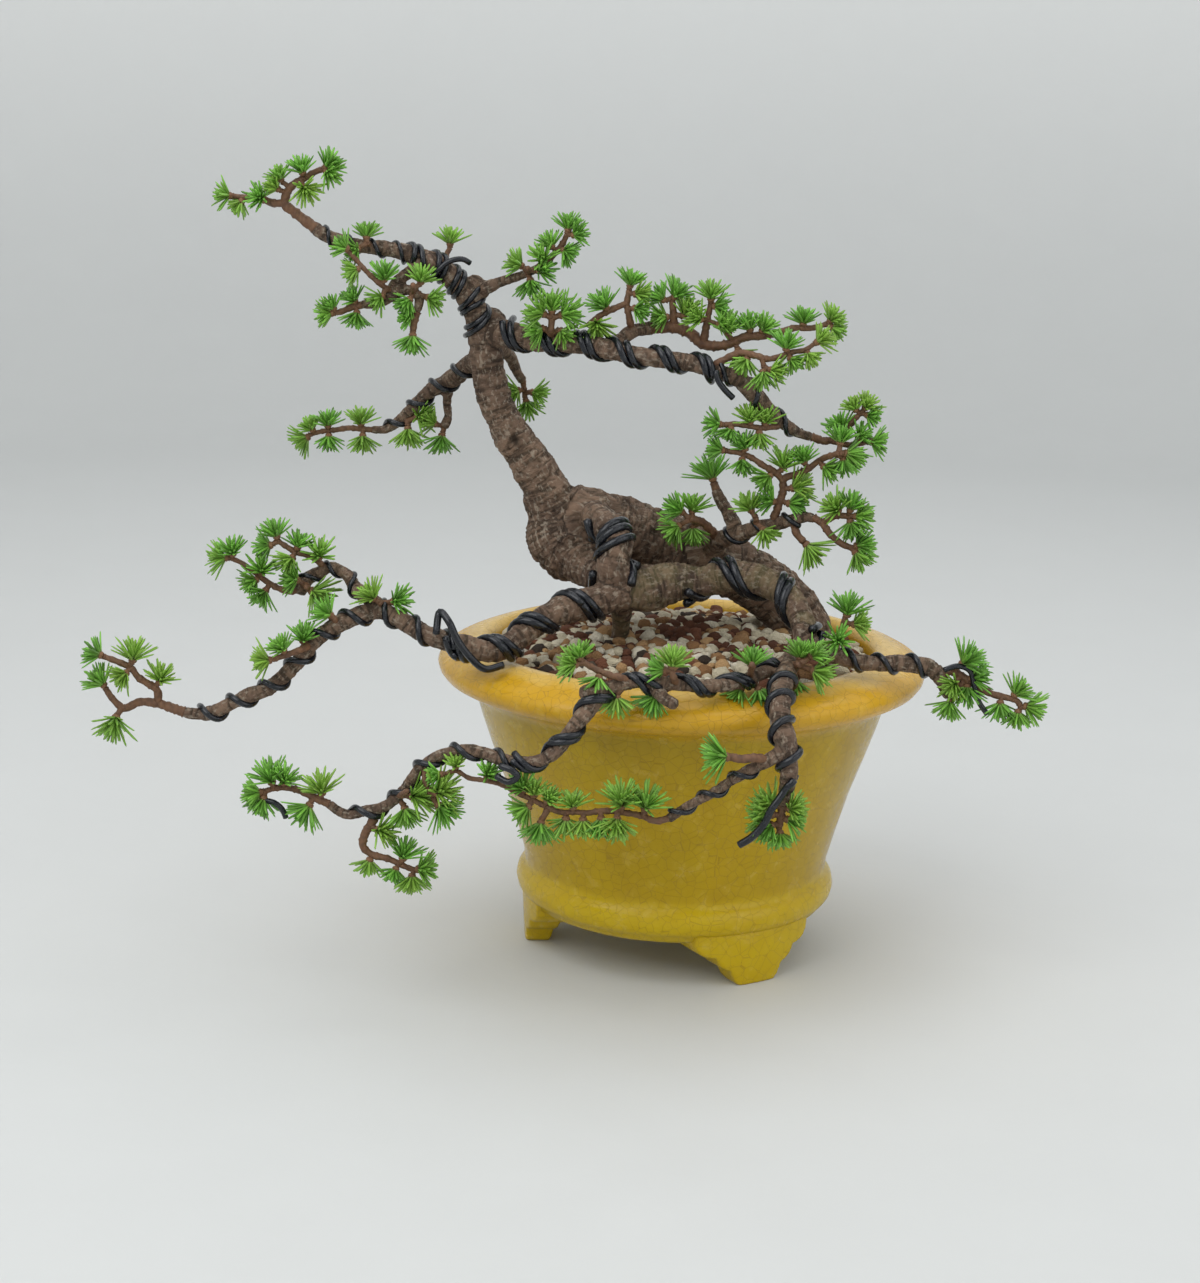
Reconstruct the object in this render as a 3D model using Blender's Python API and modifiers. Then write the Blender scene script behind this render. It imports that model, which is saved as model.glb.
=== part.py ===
"""Larch bonsai in a round glazed pot: pot, drainage mesh, soil, tree, training wires and sprays of needles.

Metres, +Z up, seen from -Y. The origin is the middle of the object's outline on the surface it stands on.
Routes are read off a front view: (across, down) on that picture, the depth behind the pot's axis, and
the radius, both in millimetres. seen() turns them into places at real size.
"""

import math
import random

import bmesh
import bpy
from mathutils import Matrix, Vector
from mathutils.bvhtree import BVHTree

MM = 0.001

# Where the front view is taken from, with its middle and focal length in pixels.
EYE = Vector((-0.037, -1.0595, 0.3869))
EYE_PITCH = math.radians(13.13)
EYE_ROLL = math.radians(1.4)
EYE_FOCAL = 2400.0
PICTURE_MIDDLE_ACROSS = 600.0
PICTURE_MIDDLE_DOWN = 641.5

# Pot, in millimetres.
LIP_RADIUS = 110.0
LIP_HEIGHT = 131.7
CREST_RADIUS = 90.0
CREST_HEIGHT = 141.5
NECK_RADIUS = 91.5
WALL = 8.0
BAND_RADIUS = 73.0
BAND_HEIGHT = 30.5
BAND_HALF_HEIGHT = 6.5
POT_UNDERSIDE = 20.5
POT_FLOOR = 28.5
FLOOR_RADIUS = 47.0
INSIDE_LOW = 45.0
INSIDE_TOP = 104.0
MOUTH_RADIUS = 86.0
WALL_LOW_RADIUS = 68.4
WALL_LOW_HEIGHT = 37.0
NECK_HEIGHT = 113.0
DRAIN_RADIUS = 12.0
POT_STEPS = 24
FOOT_TURNS = (-58.1, 61.9, 181.9)
FOOT_INNER_RADIUS = 58.0
FOOT_TOE_RADIUS = 68.9
FOOT_TOP = 25.0
FOOT_TOP_WIDTH = 60.0
FOOT_TOE_WIDTH = 19.0
DRAIN_MESH_THICKNESS = 1.0
DRAIN_MESH_RADIUS = 19.0
DRAIN_MESH_HOLE = 8.0
DRAIN_MESH_STEPS = 16

# Soil, in millimetres.
SOIL_MIDDLE_HEIGHT = 143.0
SOIL_EDGE_HEIGHT = 136.0
SOIL_GRAINS = 36
GRAIN_SMALLEST = 4.2
GRAIN_LARGEST = 6.4
GRAINS_REACH = 78.0
GOLDEN_TURN = math.radians(137.5)

# Clearances between neighbouring solids, in millimetres.
SEAT_GAP = 0.35
WIRE_GAP = 0.4
NEEDLE_GAP = 0.45

# How a route is eased clear of its neighbours: rounds, extra room in millimetres, and strength of each push.
EASING_ROUNDS = 30
EASING_EXTRA = 0.02
EASING_PUSH = 1.3
ROOT_DEPTH = 2.0
TWIG_END = 0.8
FURTHEST_START = 0.8
PLACING_TRIES = 30
PLACING_STEP = 0.35
BUD_TRIES = 60

# Needles, in millimetres.
BUD_RADIUS = 1.4
BUD_SIDES = 4
LARGE_TUFT = 1.35
BUD_LEAN = 3.0
NEEDLE_LENGTH = 8.8

# Limbs of the tree: across, down, depth, radius. Each route starts inside the limb that it grows from.
LIMBS = {
    "trunk": [
        (804, 670, 26, 13.5), (804, 648, 27, 14), (799, 625, 28, 14), (775, 595, 27, 13.8),
        (740, 572, 25, 13.8), (700, 555, 23, 13.8), (660, 540, 20, 13.8), (620, 528, 16, 14.6),
        (585, 520, 12, 15.2), (562, 514, 10, 15), (550, 500, 9, 12.2), (545, 488, 8, 10.6),
        (535, 470, 8, 9.8), (526, 455, 8, 9.3), (513, 437, 8, 8.7), (503, 418, 8, 8), (495, 400, 8, 7.8),
        (489, 375, 8, 7.6), (486, 350, 8, 7.6), (488, 330, 9, 7.2), (497, 312, 11, 5),
    ],
    "knot": [
        (575, 520, 12, 12), (557, 533, 7, 13.5), (568, 550, 4, 13.5), (584, 563, -4, 10.5),
        (598, 574, -14, 8.5), (610, 584, -24, 7),
    ],
    "front_limb": [
        (590, 516, 8, 7), (597, 518, -5, 6.8), (612, 532, -20, 7.1), (617, 547, -28, 7.2),
        (613, 566, -31, 7.4), (622, 589, -29, 8),
    ],
    "low_arch": [
        (622, 589, -29, 7.6), (650, 588, -25, 10), (676, 582, -22, 8.8), (700, 582, -22, 6.7),
        (725, 577, -24, 7.8), (750, 578, -28, 7.3), (775, 587, -34, 6.4), (792, 602, -42, 5.8),
        (802, 620, -50, 5.7), (805, 638, -56, 5.4), (797, 658, -64, 4.6),
    ],
    "stilt_root": [
        (622, 596, -26, 5), (621, 625, -12, 4), (619, 645, -4, 4), (617, 662, 2, 4), (617, 678, 6, 4.2),
    ],
    "stilt_prong": [
        (620, 634, -8, 3), (635, 650, -2, 3), (648, 662, 0, 2.6), (655, 676, 2, 2.4),
    ],
    "left_front": [
        (622, 589, -29, 7.4), (600, 600, -34, 7), (575, 607, -38, 6.6), (557, 612, -42, 6.1),
        (540, 621, -45, 5.6), (522, 635, -50, 5.2), (504, 648, -55, 5.1), (486, 651, -60, 5),
        (465, 646, -62, 4.7), (445, 641, -62, 4.3), (420, 631, -60, 4.1), (397, 618, -58, 3.9),
        (380, 610, -55, 4), (360, 615, -57, 4), (345, 621, -58, 4.1), (330, 629, -60, 3.8),
        (314, 641, -62, 3.6), (301, 658, -64, 3.6), (287, 673, -65, 3.4), (269, 688, -66, 3.4),
        (248, 696, -66, 3.4), (228, 705, -65, 3), (212, 713, -64, 3.3), (196, 714, -63, 2.6),
        (184, 712, -62, 2.4),
    ],
    "left_upper": [
        (382, 610, -54, 3.4), (369, 598, -50, 3.2), (355, 588, -46, 3.1), (350, 578, -44, 2.9),
        (340, 570, -42, 2.6), (330, 567, -40, 2.6), (320, 572, -40, 2.9), (306, 580, -42, 3.2),
        (299, 593, -44, 3.1),
    ],
    "right_low": [
        (802, 634, -56, 4), (820, 650, -62, 3.8), (845, 659, -62, 3.4), (861, 662, -62, 3.4),
        (879, 664, -62, 3.4), (897, 663, -62, 3.6), (915, 665, -62, 3.7), (929, 667, -62, 3.8),
        (939, 676, -62, 3.4), (945, 688, -62, 2.7), (948, 697, -62, 2.1),
    ],
    "front_fall": [
        (799, 650, -62, 4.4), (788, 668, -81, 4.2), (783, 684, -97, 4.5), (780, 703, -112, 4.5),
        (781, 725, -121, 4.7), (786, 742, -126, 4.5), (789, 763, -128, 4), (788, 781, -128, 3.4),
        (784, 797, -126, 2.6), (783, 804, -125, 2.3),
    ],
    "front_twig": [
        (786, 750, -127, 3), (767, 761, -128, 2.6), (744, 773, -128, 2.4), (728, 783, -127, 2.2),
        (711, 794, -126, 2.1), (693, 803, -125, 2), (680, 811, -124, 2), (668, 819, -123, 2.1),
    ],
    "front_rim": [
        (799, 648, -60, 4.2), (788, 662, -72, 3.6), (770, 669, -84, 3.2), (750, 678, -94, 2.9),
        (733, 684, -100, 2.9), (714, 686, -104, 2.9), (695, 686, -106, 2.8), (675, 684, -108, 2.7),
        (655, 682, -110, 2.6), (633, 683, -111, 2.6), (614, 686, -112, 3), (600, 694, -114, 3.6),
        (588, 710, -118, 3.6), (576, 724, -121, 3.4), (564, 741, -123, 3.2), (552, 754, -124, 3),
        (535, 762, -124, 2.8), (517, 762, -122, 2.7), (500, 759, -120, 2.8), (484, 753, -117, 2.7),
        (468, 750, -115, 2.6), (449, 753, -112, 2.6), (433, 759, -110, 2.6), (420, 769, -108, 2.6),
        (412, 779, -107, 2.5), (404, 790, -106, 2.5), (393, 801, -105, 2.5), (379, 809, -104, 2.5),
        (364, 811, -103, 2.4), (352, 815, -102, 2.2), (340, 812, -100, 2.1), (329, 804, -99, 2),
    ],
    "rim_knob": [
        (603, 690, -114, 3), (592, 692, -115, 3.4), (581, 695, -116, 2.8),
    ],
    "rim_stub": [
        (652, 685, -110, 2.4), (665, 699, -114, 2.5), (676, 705, -117, 2.5),
    ],
    "mid_right": [
        (712, 556, 20, 7), (716, 543, 8, 4.4), (729, 537, 0, 4), (742, 533, -6, 3.6),
        (757, 528, -10, 3.3), (775, 524, -14, 3.1), (792, 520, -18, 2.9), (805, 517, -20, 2.6),
        (814, 518, -21, 2.2),
    ],
    "mid_right_stub": [
        (735, 528, -3, 3.2), (729, 514, -2, 3), (722, 503, 0, 2.8), (716, 490, 2, 2.6),
    ],
    "high_right": [
        (490, 332, 8, 6), (515, 335, 0, 5.3), (532, 340, -4, 4.9), (555, 342, -8, 4.7),
        (579, 344, -11, 4.4), (596, 346, -13, 4.4), (613, 351, -15, 4.2), (640, 356, -17, 4),
        (662, 359, -18, 4), (681, 361, -18, 4), (701, 366, -18, 3.8), (722, 373, -18, 3.6),
        (740, 380, -17, 3.8), (753, 393, -16, 4), (763, 405, -15, 3.8), (774, 416, -14, 3.4),
        (786, 425, -13, 3), (799, 433, -12, 2.3), (812, 437, -11, 2),
    ],
    "high_right_upper": [
        (611, 350, -13, 3.4), (622, 339, -7, 3), (633, 331, -4, 3), (651, 328, -2, 3),
    ],
    "apex": [
        (485, 338, 8, 6.6), (476, 313, 6, 5.4), (469, 298, 5, 5.4), (458, 284, 3, 5.4), (447, 273, 2, 5),
        (434, 263, 0, 4.5), (417, 256, -1, 3.9), (400, 251, -2, 3.6), (380, 248, -3, 3.4),
        (361, 246, -4, 3.2), (340, 241, -5, 3.2), (325, 235, -5, 3.1), (315, 228, -5, 2.9),
    ],
    "apex_knob": [
        (465, 296, 4, 3.6), (474, 285, 4, 3.8), (478, 277, 4, 2.9),
    ],
    "apex_hanging": [
        (429, 262, -2, 3), (410, 272, -5, 2.6), (397, 282, -7, 2.6), (393, 292, -9, 3),
        (409, 290, -9, 2.3), (419, 297, -10, 2.4), (417, 312, -10, 1.8),
    ],
    "apex_inner": [
        (395, 295, -9, 2.2), (380, 302, -10, 2.2), (362, 305, -10, 2),
    ],
    "top_right": [
        (474, 303, 6, 3), (484, 290, 4, 2.7), (493, 285, 3, 2.6), (503, 281, 2, 2.4), (514, 278, 0, 2.2),
        (525, 274, -1, 2), (538, 268, -2, 2), (549, 260, -2, 1.7),
    ],
    "left_back": [
        (487, 358, 12, 5), (468, 366, 28, 4.5), (456, 376, 32, 4.3), (443, 384, 36, 3.7),
        (430, 391, 38, 3.4), (419, 402, 40, 3.2), (408, 413, 42, 3.1), (398, 422, 43, 2.6),
        (386, 429, 44, 2.1), (372, 430, 44, 1.9),
    ],
    "left_back_hook": [
        (449, 383, 35, 2.4), (447, 403, 38, 2), (448, 417, 38, 2), (444, 427, 38, 2.3),
    ],
    "small_back": [
        (495, 344, 12, 3.4), (511, 358, 26, 2.7), (517, 372, 28, 2.4), (523, 381, 30, 2.1),
    ],
}
LIMBS_IN_SOIL = ("trunk", "stilt_root", "stilt_prong")

# Training wires: limb, first and last share of its length, turns, first turn's angle, radius in mm, and the
# free end's places where there is one.
WIRES = {
    "wire_left_front": ("left_front", 0.04, 0.97, 14.5, 200, 1.5, []),
    "wire_left_front_second": (
        "left_front", 0.06, 0.36, 5.0, 20, 1.5, [(452, 624, -68), (470, 656, -70), (500, 669, -67)],
    ),
    "wire_left_upper": ("left_upper", 0.12, 0.92, 3.4, 20, 1.0, []),
    "wire_knot": ("front_limb", 0.30, 0.84, 1.5, 30, 1.8, []),
    "wire_low_arch": ("low_arch", 0.28, 0.90, 3.4, 200, 1.8, []),
    "wire_right_low": ("right_low", 0.2, 0.84, 3.4, 60, 1.3, []),
    "wire_front_rim": ("front_rim", 0.12, 0.96, 12.5, 90, 1.3, []),
    "wire_front_fall": (
        "front_fall", 0.40, 0.86, 3.4, 30, 1.6, [(768, 812, -132), (758, 828, -133), (740, 845, -133)],
    ),
    "wire_front_twig": ("front_twig", 0.28, 0.93, 2.4, 200, 1.1, []),
    "wire_mid_right": ("mid_right", 0.34, 0.86, 2.2, 120, 1.1, []),
    "wire_high_right": ("high_right", 0.12, 0.95, 8.4, 90, 1.4, []),
    "wire_apex": ("apex", 0.05, 0.93, 8.4, 120, 1.25, []),
    "wire_left_back": ("left_back", 0.28, 0.92, 3.4, 40, 1.3, []),
}
WIRE_POINTS_A_TURN = 5

# Sprays: the twigs' routes (across, down, depth against its limb) outwards, the first from its limb and any
# others from the first, the radius at their start and end in mm, then the tufts: (across, down) of the bud,
# the way it points on the picture and its lean towards the viewer in degrees, and its size.
SPRAYS = {
    "spray_apex_tip": (
        [
            [
                (313, 227, 0), (303, 219, 0), (293, 211, 0), (285, 204, 0), (287, 193, 0), (294, 184, -1),
                (305, 178, -1), (315, 172, -1), (323, 169, -2),
            ],
            [
                (285, 203, 0), (273, 203, 0), (262, 199, 1), (250, 198, 2), (240, 197, 3), (234, 196, 3),
            ],
        ],
        2.6,
        1.2,
        [
            (231, 195, 176, 5, 1.1), (303, 173, 105, 25, 1.1), (326, 167, 55, 5, 1.1),
            (304, 187, -30, 45, 1.2),
        ],
    ),
    "spray_top_bend": (
        [
            [
                (447, 273, 0), (446, 256, 8), (450, 248, 9),
            ],
        ],
        1.4,
        1.2,
        [
            (450, 246, 90, 0, 1.1),
        ],
    ),
    "spray_top_orange": (
        [
            [
                (393, 293, 0), (383, 286, -4), (369, 274, -5), (358, 262, -5), (349, 252, -5),
            ],
        ],
        1.4,
        1.1,
        [
            (384, 280, 100, 15, 1.2),
        ],
    ),
    "spray_top_inner": (
        [
            [
                (367, 304, 0), (352, 307, 0), (343, 311, 0), (336, 313, 0),
            ],
        ],
        1.8,
        1.2,
        [
            (333, 314, 183, 5, 1.1),
        ],
    ),
    "spray_top_hanging": (
        [
            [
                (417, 312, 0), (414, 323, 0), (413, 331, 0),
            ],
        ],
        1.8,
        1.5,
        [
            (413, 334, -92, 15, 1.3),
        ],
    ),
    "spray_top_front": (
        [
            [
                (413, 293, 0), (413, 285, -14),
            ],
        ],
        1.3,
        1.1,
        [
            (421, 282, 90, 25, 1.1), (413, 297, 215, 35, 1.1), (426, 297, -10, 25, 1.1),
        ],
    ),
    "spray_top_right": (
        [
            [
                (549, 260, 0), (556, 252, -1), (563, 243, -1), (567, 234, -2),
            ],
        ],
        1.6,
        1.2,
        [
            (568, 230, 92, 0, 1.1), (545, 263, 95, 35, 1.1),
        ],
    ),
    "spray_top_right_inner": (
        [
            [
                (527, 272, 0), (528, 268, -8),
            ],
        ],
        1.5,
        1.3,
        [
            (522, 266, 160, 20, 1.1), (530, 276, -92, 25, 1.2), (537, 270, 30, 45, 1.1),
        ],
    ),
    "spray_high_first": (
        [
            [
                (550, 342, 0), (551, 329, -7), (552, 318, -7),
            ],
        ],
        1.8,
        1.4,
        [
            (544, 314, 150, 15, 1.3), (552, 311, 90, 15, 1.3), (561, 315, 15, 15, 1.4),
            (543, 328, 215, 40, 1.2), (560, 330, -60, 40, 1.2),
        ],
    ),
    "spray_high_orange": (
        [
            [
                (632, 332, 0), (629, 316, -3), (627, 305, -3), (629, 290, -3),
            ],
            [
                (627, 303, -3), (611, 310, -4), (598, 317, -4), (587, 326, -4),
            ],
        ],
        1.7,
        1.3,
        [
            (606, 308, 125, 10, 1.2), (630, 286, 82, 0, 1.1), (635, 294, 10, 10, 1.1),
            (596, 322, -80, 40, 1.3),
        ],
    ),
    "spray_high_upper": (
        [
            [
                (653, 328, 0), (673, 327, 0), (690, 333, 0), (701, 343, -2), (714, 346, -4),
                (729, 344, -5), (745, 337, -6), (758, 336, -6), (769, 335, -6), (781, 332, -6),
                (794, 328, -6), (812, 328, -6), (827, 324, -6),
            ],
            [
                (674, 327, 0), (673, 308, -2), (672, 299, -2),
            ],
            [
                (704, 343, -2), (707, 322, -4), (711, 303, -4),
            ],
        ],
        2.9,
        1.2,
        [
            (664, 300, 125, 5, 1.1), (675, 300, 60, 15, 1.2), (667, 317, 180, 15, 1.1),
            (684, 315, 85, 20, 1.3), (711, 299, 92, 10, 1.2), (701, 319, 150, 30, 1.1),
            (728, 333, 85, 20, 1.4), (750, 330, 105, 10, 1.2), (762, 331, 45, 15, 1.1),
            (738, 350, -75, 35, 1.2), (803, 324, 92, 10, 1.1),
        ],
    ),
    "spray_high_lower": (
        [
            [
                (716, 347, 0), (740, 353, -4), (757, 356, -8), (769, 359, -8), (781, 356, -8),
                (793, 352, -8), (805, 350, -8), (814, 344, -8),
            ],
            [
                (762, 357, -8), (764, 367, -9),
            ],
        ],
        1.7,
        1.1,
        [
            (817, 342, 35, 5, 1.1), (786, 349, 75, 20, 1.2), (770, 370, 3, 5, 1.1),
            (763, 371, -75, 15, 1.2), (747, 358, -120, 30, 1.1),
        ],
    ),
    "spray_far_left": (
        [
            [
                (784, 426, 0), (762, 428, -5), (749, 426, -6), (735, 424, -6), (724, 425, -6),
            ],
        ],
        1.4,
        1.2,
        [
            (721, 425, 172, 5, 1.1), (750, 422, 112, 15, 1.1), (765, 423, 92, 20, 1.3),
            (759, 432, -88, 20, 1.1),
        ],
    ),
    "spray_far_tip": (
        [
            [
                (812, 437, 0), (825, 441, 0), (836, 438, 0), (845, 432, 0), (854, 420, 0), (861, 413, 0),
            ],
            [
                (830, 442, 0), (850, 445, -1), (867, 442, -1),
            ],
        ],
        1.9,
        1.2,
        [
            (842, 429, 120, 20, 1.1), (871, 442, 0, 10, 1.1), (853, 451, -70, 15, 1.1),
        ],
    ),
    "spray_riser": (
        [
            [
                (772, 522, 0), (778, 507, -2), (783, 491, -2), (784, 479, -2), (797, 474, -3),
                (808, 469, -3), (820, 460, -4), (833, 455, -9), (839, 453, -11),
            ],
            [
                (783, 481, -2), (775, 472, -3), (764, 466, -5), (752, 458, -5), (740, 453, -5),
                (727, 451, -5),
            ],
        ],
        2,
        1.3,
        [
            (723, 450, 168, 5, 1.1), (745, 449, 112, 15, 1.1), (770, 475, -150, 25, 1.1),
            (783, 468, 98, 20, 1.3), (804, 462, 105, 15, 1.1), (823, 466, -20, 20, 1.2),
            (845, 453, -10, 20, 1.3), (843, 458, -85, 20, 1.1), (792, 488, 30, 15, 1.5),
            (788, 503, 0, 20, 1.3), (773, 501, 170, 30, 1.1), (840, 443, 85, 20, 1.2),
        ],
    ),
    "spray_mid_fan": (
        [
            [
                (716, 492, 0), (714, 483, 0),
            ],
        ],
        2.2,
        1.8,
        [
            (713, 480, 108, 5, 1.7),
        ],
    ),
    "spray_mid_left": (
        [
            [
                (716, 532, 0), (702, 522, -8), (690, 519, -12),
            ],
        ],
        2.2,
        1.7,
        [
            (692, 511, 75, 20, 1.2), (682, 512, 150, 20, 1.3), (679, 525, 215, 25, 1.3),
            (693, 527, -70, 25, 1.2),
        ],
    ),
    "spray_mid_far": (
        [
            [
                (815, 518, 0), (822, 523, -2), (830, 534, -4), (842, 544, -6), (852, 548, -6),
            ],
            [
                (822, 523, -2), (836, 516, -5), (848, 516, -6),
            ],
        ],
        1.9,
        1.4,
        [
            (838, 510, 150, 30, 1.2), (850, 510, 72, 10, 1.2), (850, 521, -80, 20, 1.2),
            (855, 516, 5, 15, 1.2), (856, 546, 18, 5, 1.3), (855, 552, -50, 10, 1.3),
        ],
    ),
    "spray_mid_low": (
        [
            [
                (793, 523, 0), (797, 534, -1), (803, 541, -1),
            ],
        ],
        1.9,
        1.6,
        [
            (806, 544, -45, 10, 1.6),
        ],
    ),
    "spray_cross_left": (
        [
            [
                (633, 683, 0), (615, 677, -2), (597, 670, -2), (583, 662, -2),
            ],
        ],
        1.6,
        1.3,
        [
            (576, 664, 170, 15, 1.1), (599, 676, -110, 30, 1.1), (616, 692, -80, 20, 1.2),
        ],
    ),
    "spray_cross_mid": (
        [
            [
                (676, 684, 0), (673, 676, -6), (671, 670, -6),
            ],
        ],
        1.6,
        1.3,
        [
            (672, 666, 85, 15, 1.2), (665, 670, 165, 15, 1.1), (658, 688, -110, 20, 1.3),
        ],
    ),
    "spray_cross_right": (
        [
            [
                (750, 678, 0), (752, 664, -11),
            ],
        ],
        1.4,
        1.2,
        [
            (752, 666, 88, 10, 1.2), (742, 686, -125, 25, 1.2), (758, 688, -80, 25, 1.1),
        ],
    ),
    "spray_fall_top": (
        [
            [
                (790, 668, 0), (800, 664, -8),
            ],
        ],
        1.9,
        1.6,
        [
            (800, 658, 92, 15, 1.2), (811, 656, 40, 20, 1.1), (812, 670, -15, 15, 1.4),
            (795, 678, -105, 30, 1.3),
        ],
    ),
    "spray_right_up": (
        [
            [
                (833, 655, 0), (838, 640, -1), (843, 627, -1), (845, 619, -1),
            ],
        ],
        1.9,
        1.4,
        [
            (847, 615, 88, 5, 1.4), (853, 624, 20, 15, 1.1), (838, 640, 110, 60, 1.1),
        ],
    ),
    "spray_right_end": (
        [
            [
                (940, 676, 0), (950, 671, -1), (963, 677, -1), (979, 687, -1), (992, 694, -1),
                (1004, 697, -1), (1017, 701, -1), (1021, 707, -1),
            ],
            [
                (950, 671, -1), (957, 667, -3),
            ],
        ],
        2.2,
        1.2,
        [
            (962, 664, 50, 5, 1.5), (971, 678, 15, 15, 1.2), (950, 696, -100, 15, 1.2),
            (1014, 695, 40, 5, 1.2), (1025, 706, -25, 5, 1.3), (1018, 711, -85, 10, 1.1),
            (1000, 702, -88, 10, 1.2), (967, 686, -85, 15, 1.3),
        ],
    ),
    "spray_left_tip": (
        [
            [
                (182, 711, 0), (172, 708, 0), (160, 704, 2), (140, 702, 2), (124, 708, 2), (112, 698, 2),
                (106, 689, 2),
            ],
            [
                (158, 704, 2), (157, 690, 1), (147, 683, 0), (138, 677, 0), (131, 668, -1),
                (116, 661, -1), (105, 657, -1),
            ],
        ],
        2.4,
        1.4,
        [
            (104, 685, 138, 5, 1.3), (117, 716, -95, 55, 1.5), (101, 655, 160, 5, 1.2),
            (133, 660, 88, 15, 1.4), (127, 672, -150, 30, 1.1), (160, 681, 85, 10, 1.2),
        ],
    ),
    "spray_left_mid": (
        [
            [
                (311, 645, 0), (300, 650, -9), (286, 655, -10), (274, 659, -10),
            ],
        ],
        1.6,
        1.3,
        [
            (270, 660, 178, 5, 1.2), (304, 644, 70, 30, 1.1),
        ],
    ),
    "spray_left_upper_tip": (
        [
            [
                (301, 590, 0), (289, 591, -2), (278, 588, 0), (266, 581, 0), (253, 571, 0), (240, 562, 0),
                (230, 558, 0),
            ],
        ],
        1.7,
        1.1,
        [
            (227, 557, 178, 5, 1.2), (233, 554, 112, 15, 1.1), (262, 572, 92, 25, 1.1),
            (257, 579, -170, 30, 1.1), (266, 590, -125, 20, 1.2),
        ],
    ),
    "spray_left_upper_stem": (
        [
            [
                (326, 567, 0), (310, 556, -2), (296, 552, -3), (284, 545, -3), (278, 541, -3),
            ],
        ],
        1.5,
        1.2,
        [
            (277, 537, 112, 5, 1.2), (271, 545, 185, 10, 1.1), (293, 557, 215, 30, 1.2),
            (320, 556, 110, 40, 1.2),
        ],
    ),
    "spray_left_upper_knob": (
        [
            [
                (305, 584, 0), (307, 588, -6),
            ],
        ],
        1.8,
        1.5,
        [
            (312, 590, -10, 40, 1.6), (302, 580, 170, 45, 1.1),
        ],
    ),
    "spray_left_fork": (
        [
            [
                (380, 609, 0), (381, 602, -5),
            ],
        ],
        1.6,
        1.3,
        [
            (374, 598, 120, 30, 1.2), (389, 604, 22, 20, 1.2),
        ],
    ),
    "spray_back_left_tip": (
        [
            [
                (374, 430, 0), (361, 429, 0), (349, 428, 0), (335, 430, 0), (324, 431, 0), (311, 434, 0),
            ],
        ],
        1.5,
        1.1,
        [
            (308, 437, 200, 5, 1.2), (328, 426, 92, 10, 1.1), (329, 435, -90, 15, 1.1),
            (361, 424, 92, 10, 1.2), (363, 435, -88, 20, 1.2),
        ],
    ),
    "spray_back_left_mid": (
        [
            [
                (406, 416, 0), (408, 424, -3),
            ],
        ],
        1.6,
        1.3,
        [
            (408, 428, -82, 15, 1.4), (418, 416, 0, 40, 1.2),
        ],
    ),
    "spray_back_left_hook": (
        [
            [
                (444, 426, 0), (443, 432, 0),
            ],
        ],
        1.6,
        1.3,
        [
            (442, 435, -95, 15, 1.3), (436, 424, 150, 20, 1.1),
        ],
    ),
    "spray_small_back": (
        [
            [
                (523, 381, 0), (524, 389, 0), (525, 398, 0),
            ],
        ],
        1.4,
        1.2,
        [
            (525, 401, -70, 10, 1.2), (532, 392, -15, 20, 1.1),
        ],
    ),
    "spray_front_rim_tip": (
        [
            [
                (327, 803, 0), (313, 797, 0), (301, 791, 0), (289, 788, 0), (277, 788, 0), (265, 791, 0),
            ],
        ],
        1.9,
        1.2,
        [
            (272, 782, 112, 10, 1.4), (261, 792, 186, 5, 1.2), (264, 797, -105, 15, 1.2),
            (284, 782, 70, 25, 1.1), (322, 793, 108, 10, 1.4), (310, 804, 232, 25, 1.5),
        ],
    ),
    "spray_front_rim_mid": (
        [
            [
                (397, 796, 0), (407, 791, -14),
            ],
        ],
        1.3,
        1.1,
        [
            (412, 795, 20, 35, 1.6), (405, 807, -88, 25, 1.3),
        ],
    ),
    "spray_front_rim_bare": (
        [
            [
                (427, 763, 0), (425, 778, -3), (429, 790, -4), (434, 799, -4), (441, 815, -4),
            ],
        ],
        1.4,
        1.1,
        [
            (437, 792, 32, 20, 1.5), (438, 802, -35, 20, 1.4),
        ],
    ),
    "spray_front_fork": (
        [
            [
                (378, 810, 0), (372, 822, 0), (365, 834, 0), (363, 846, 0), (371, 854, 0), (389, 859, -1),
                (404, 866, -1), (414, 870, -1),
            ],
        ],
        2.1,
        1.2,
        [
            (418, 869, 8, 5, 1.2), (412, 875, -80, 10, 1.1), (403, 858, 82, 15, 1.3),
            (378, 829, 15, 30, 1.2),
        ],
    ),
    "spray_front_twig_fan": (
        [
            [
                (766, 757, 0), (755, 758, -3), (741, 759, -4), (731, 757, -4),
            ],
        ],
        2.1,
        1.7,
        [
            (728, 757, 178, 10, 1.6),
        ],
    ),
    "spray_front_long": (
        [
            [
                (670, 818, 0), (656, 821, -3), (642, 816, 0), (620, 812, 0), (600, 811, 0), (588, 813, 0),
                (575, 812, 0), (560, 812, 1), (545, 806, 1), (533, 800, 2), (520, 794, 3), (500, 784, 5),
                (482, 780, 7), (469, 778, 8), (456, 771, 9), (445, 774, 9),
            ],
        ],
        1.5,
        1,
        [
            (645, 808, 78, 15, 1.5), (622, 805, 98, 15, 1.5), (617, 818, -85, 35, 1.4),
            (566, 818, -100, 10, 1.2), (583, 819, -88, 10, 1.2), (601, 818, -88, 10, 1.2),
            (524, 789, 135, 10, 1.1), (529, 806, 200, 15, 1.3), (541, 822, -92, 10, 1.3),
        ],
    ),
    "spray_front_fall_tip": (
        [
            [
                (782, 806, 0), (781, 815, 0), (779, 827, 0),
            ],
        ],
        1.9,
        1.5,
        [
            (775, 805, 140, 15, 1.3), (772, 814, 178, 15, 1.6), (772, 824, 222, 20, 1.3),
            (788, 808, 40, 20, 1.2), (787, 819, -5, 15, 1.2),
        ],
    ),
}

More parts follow.
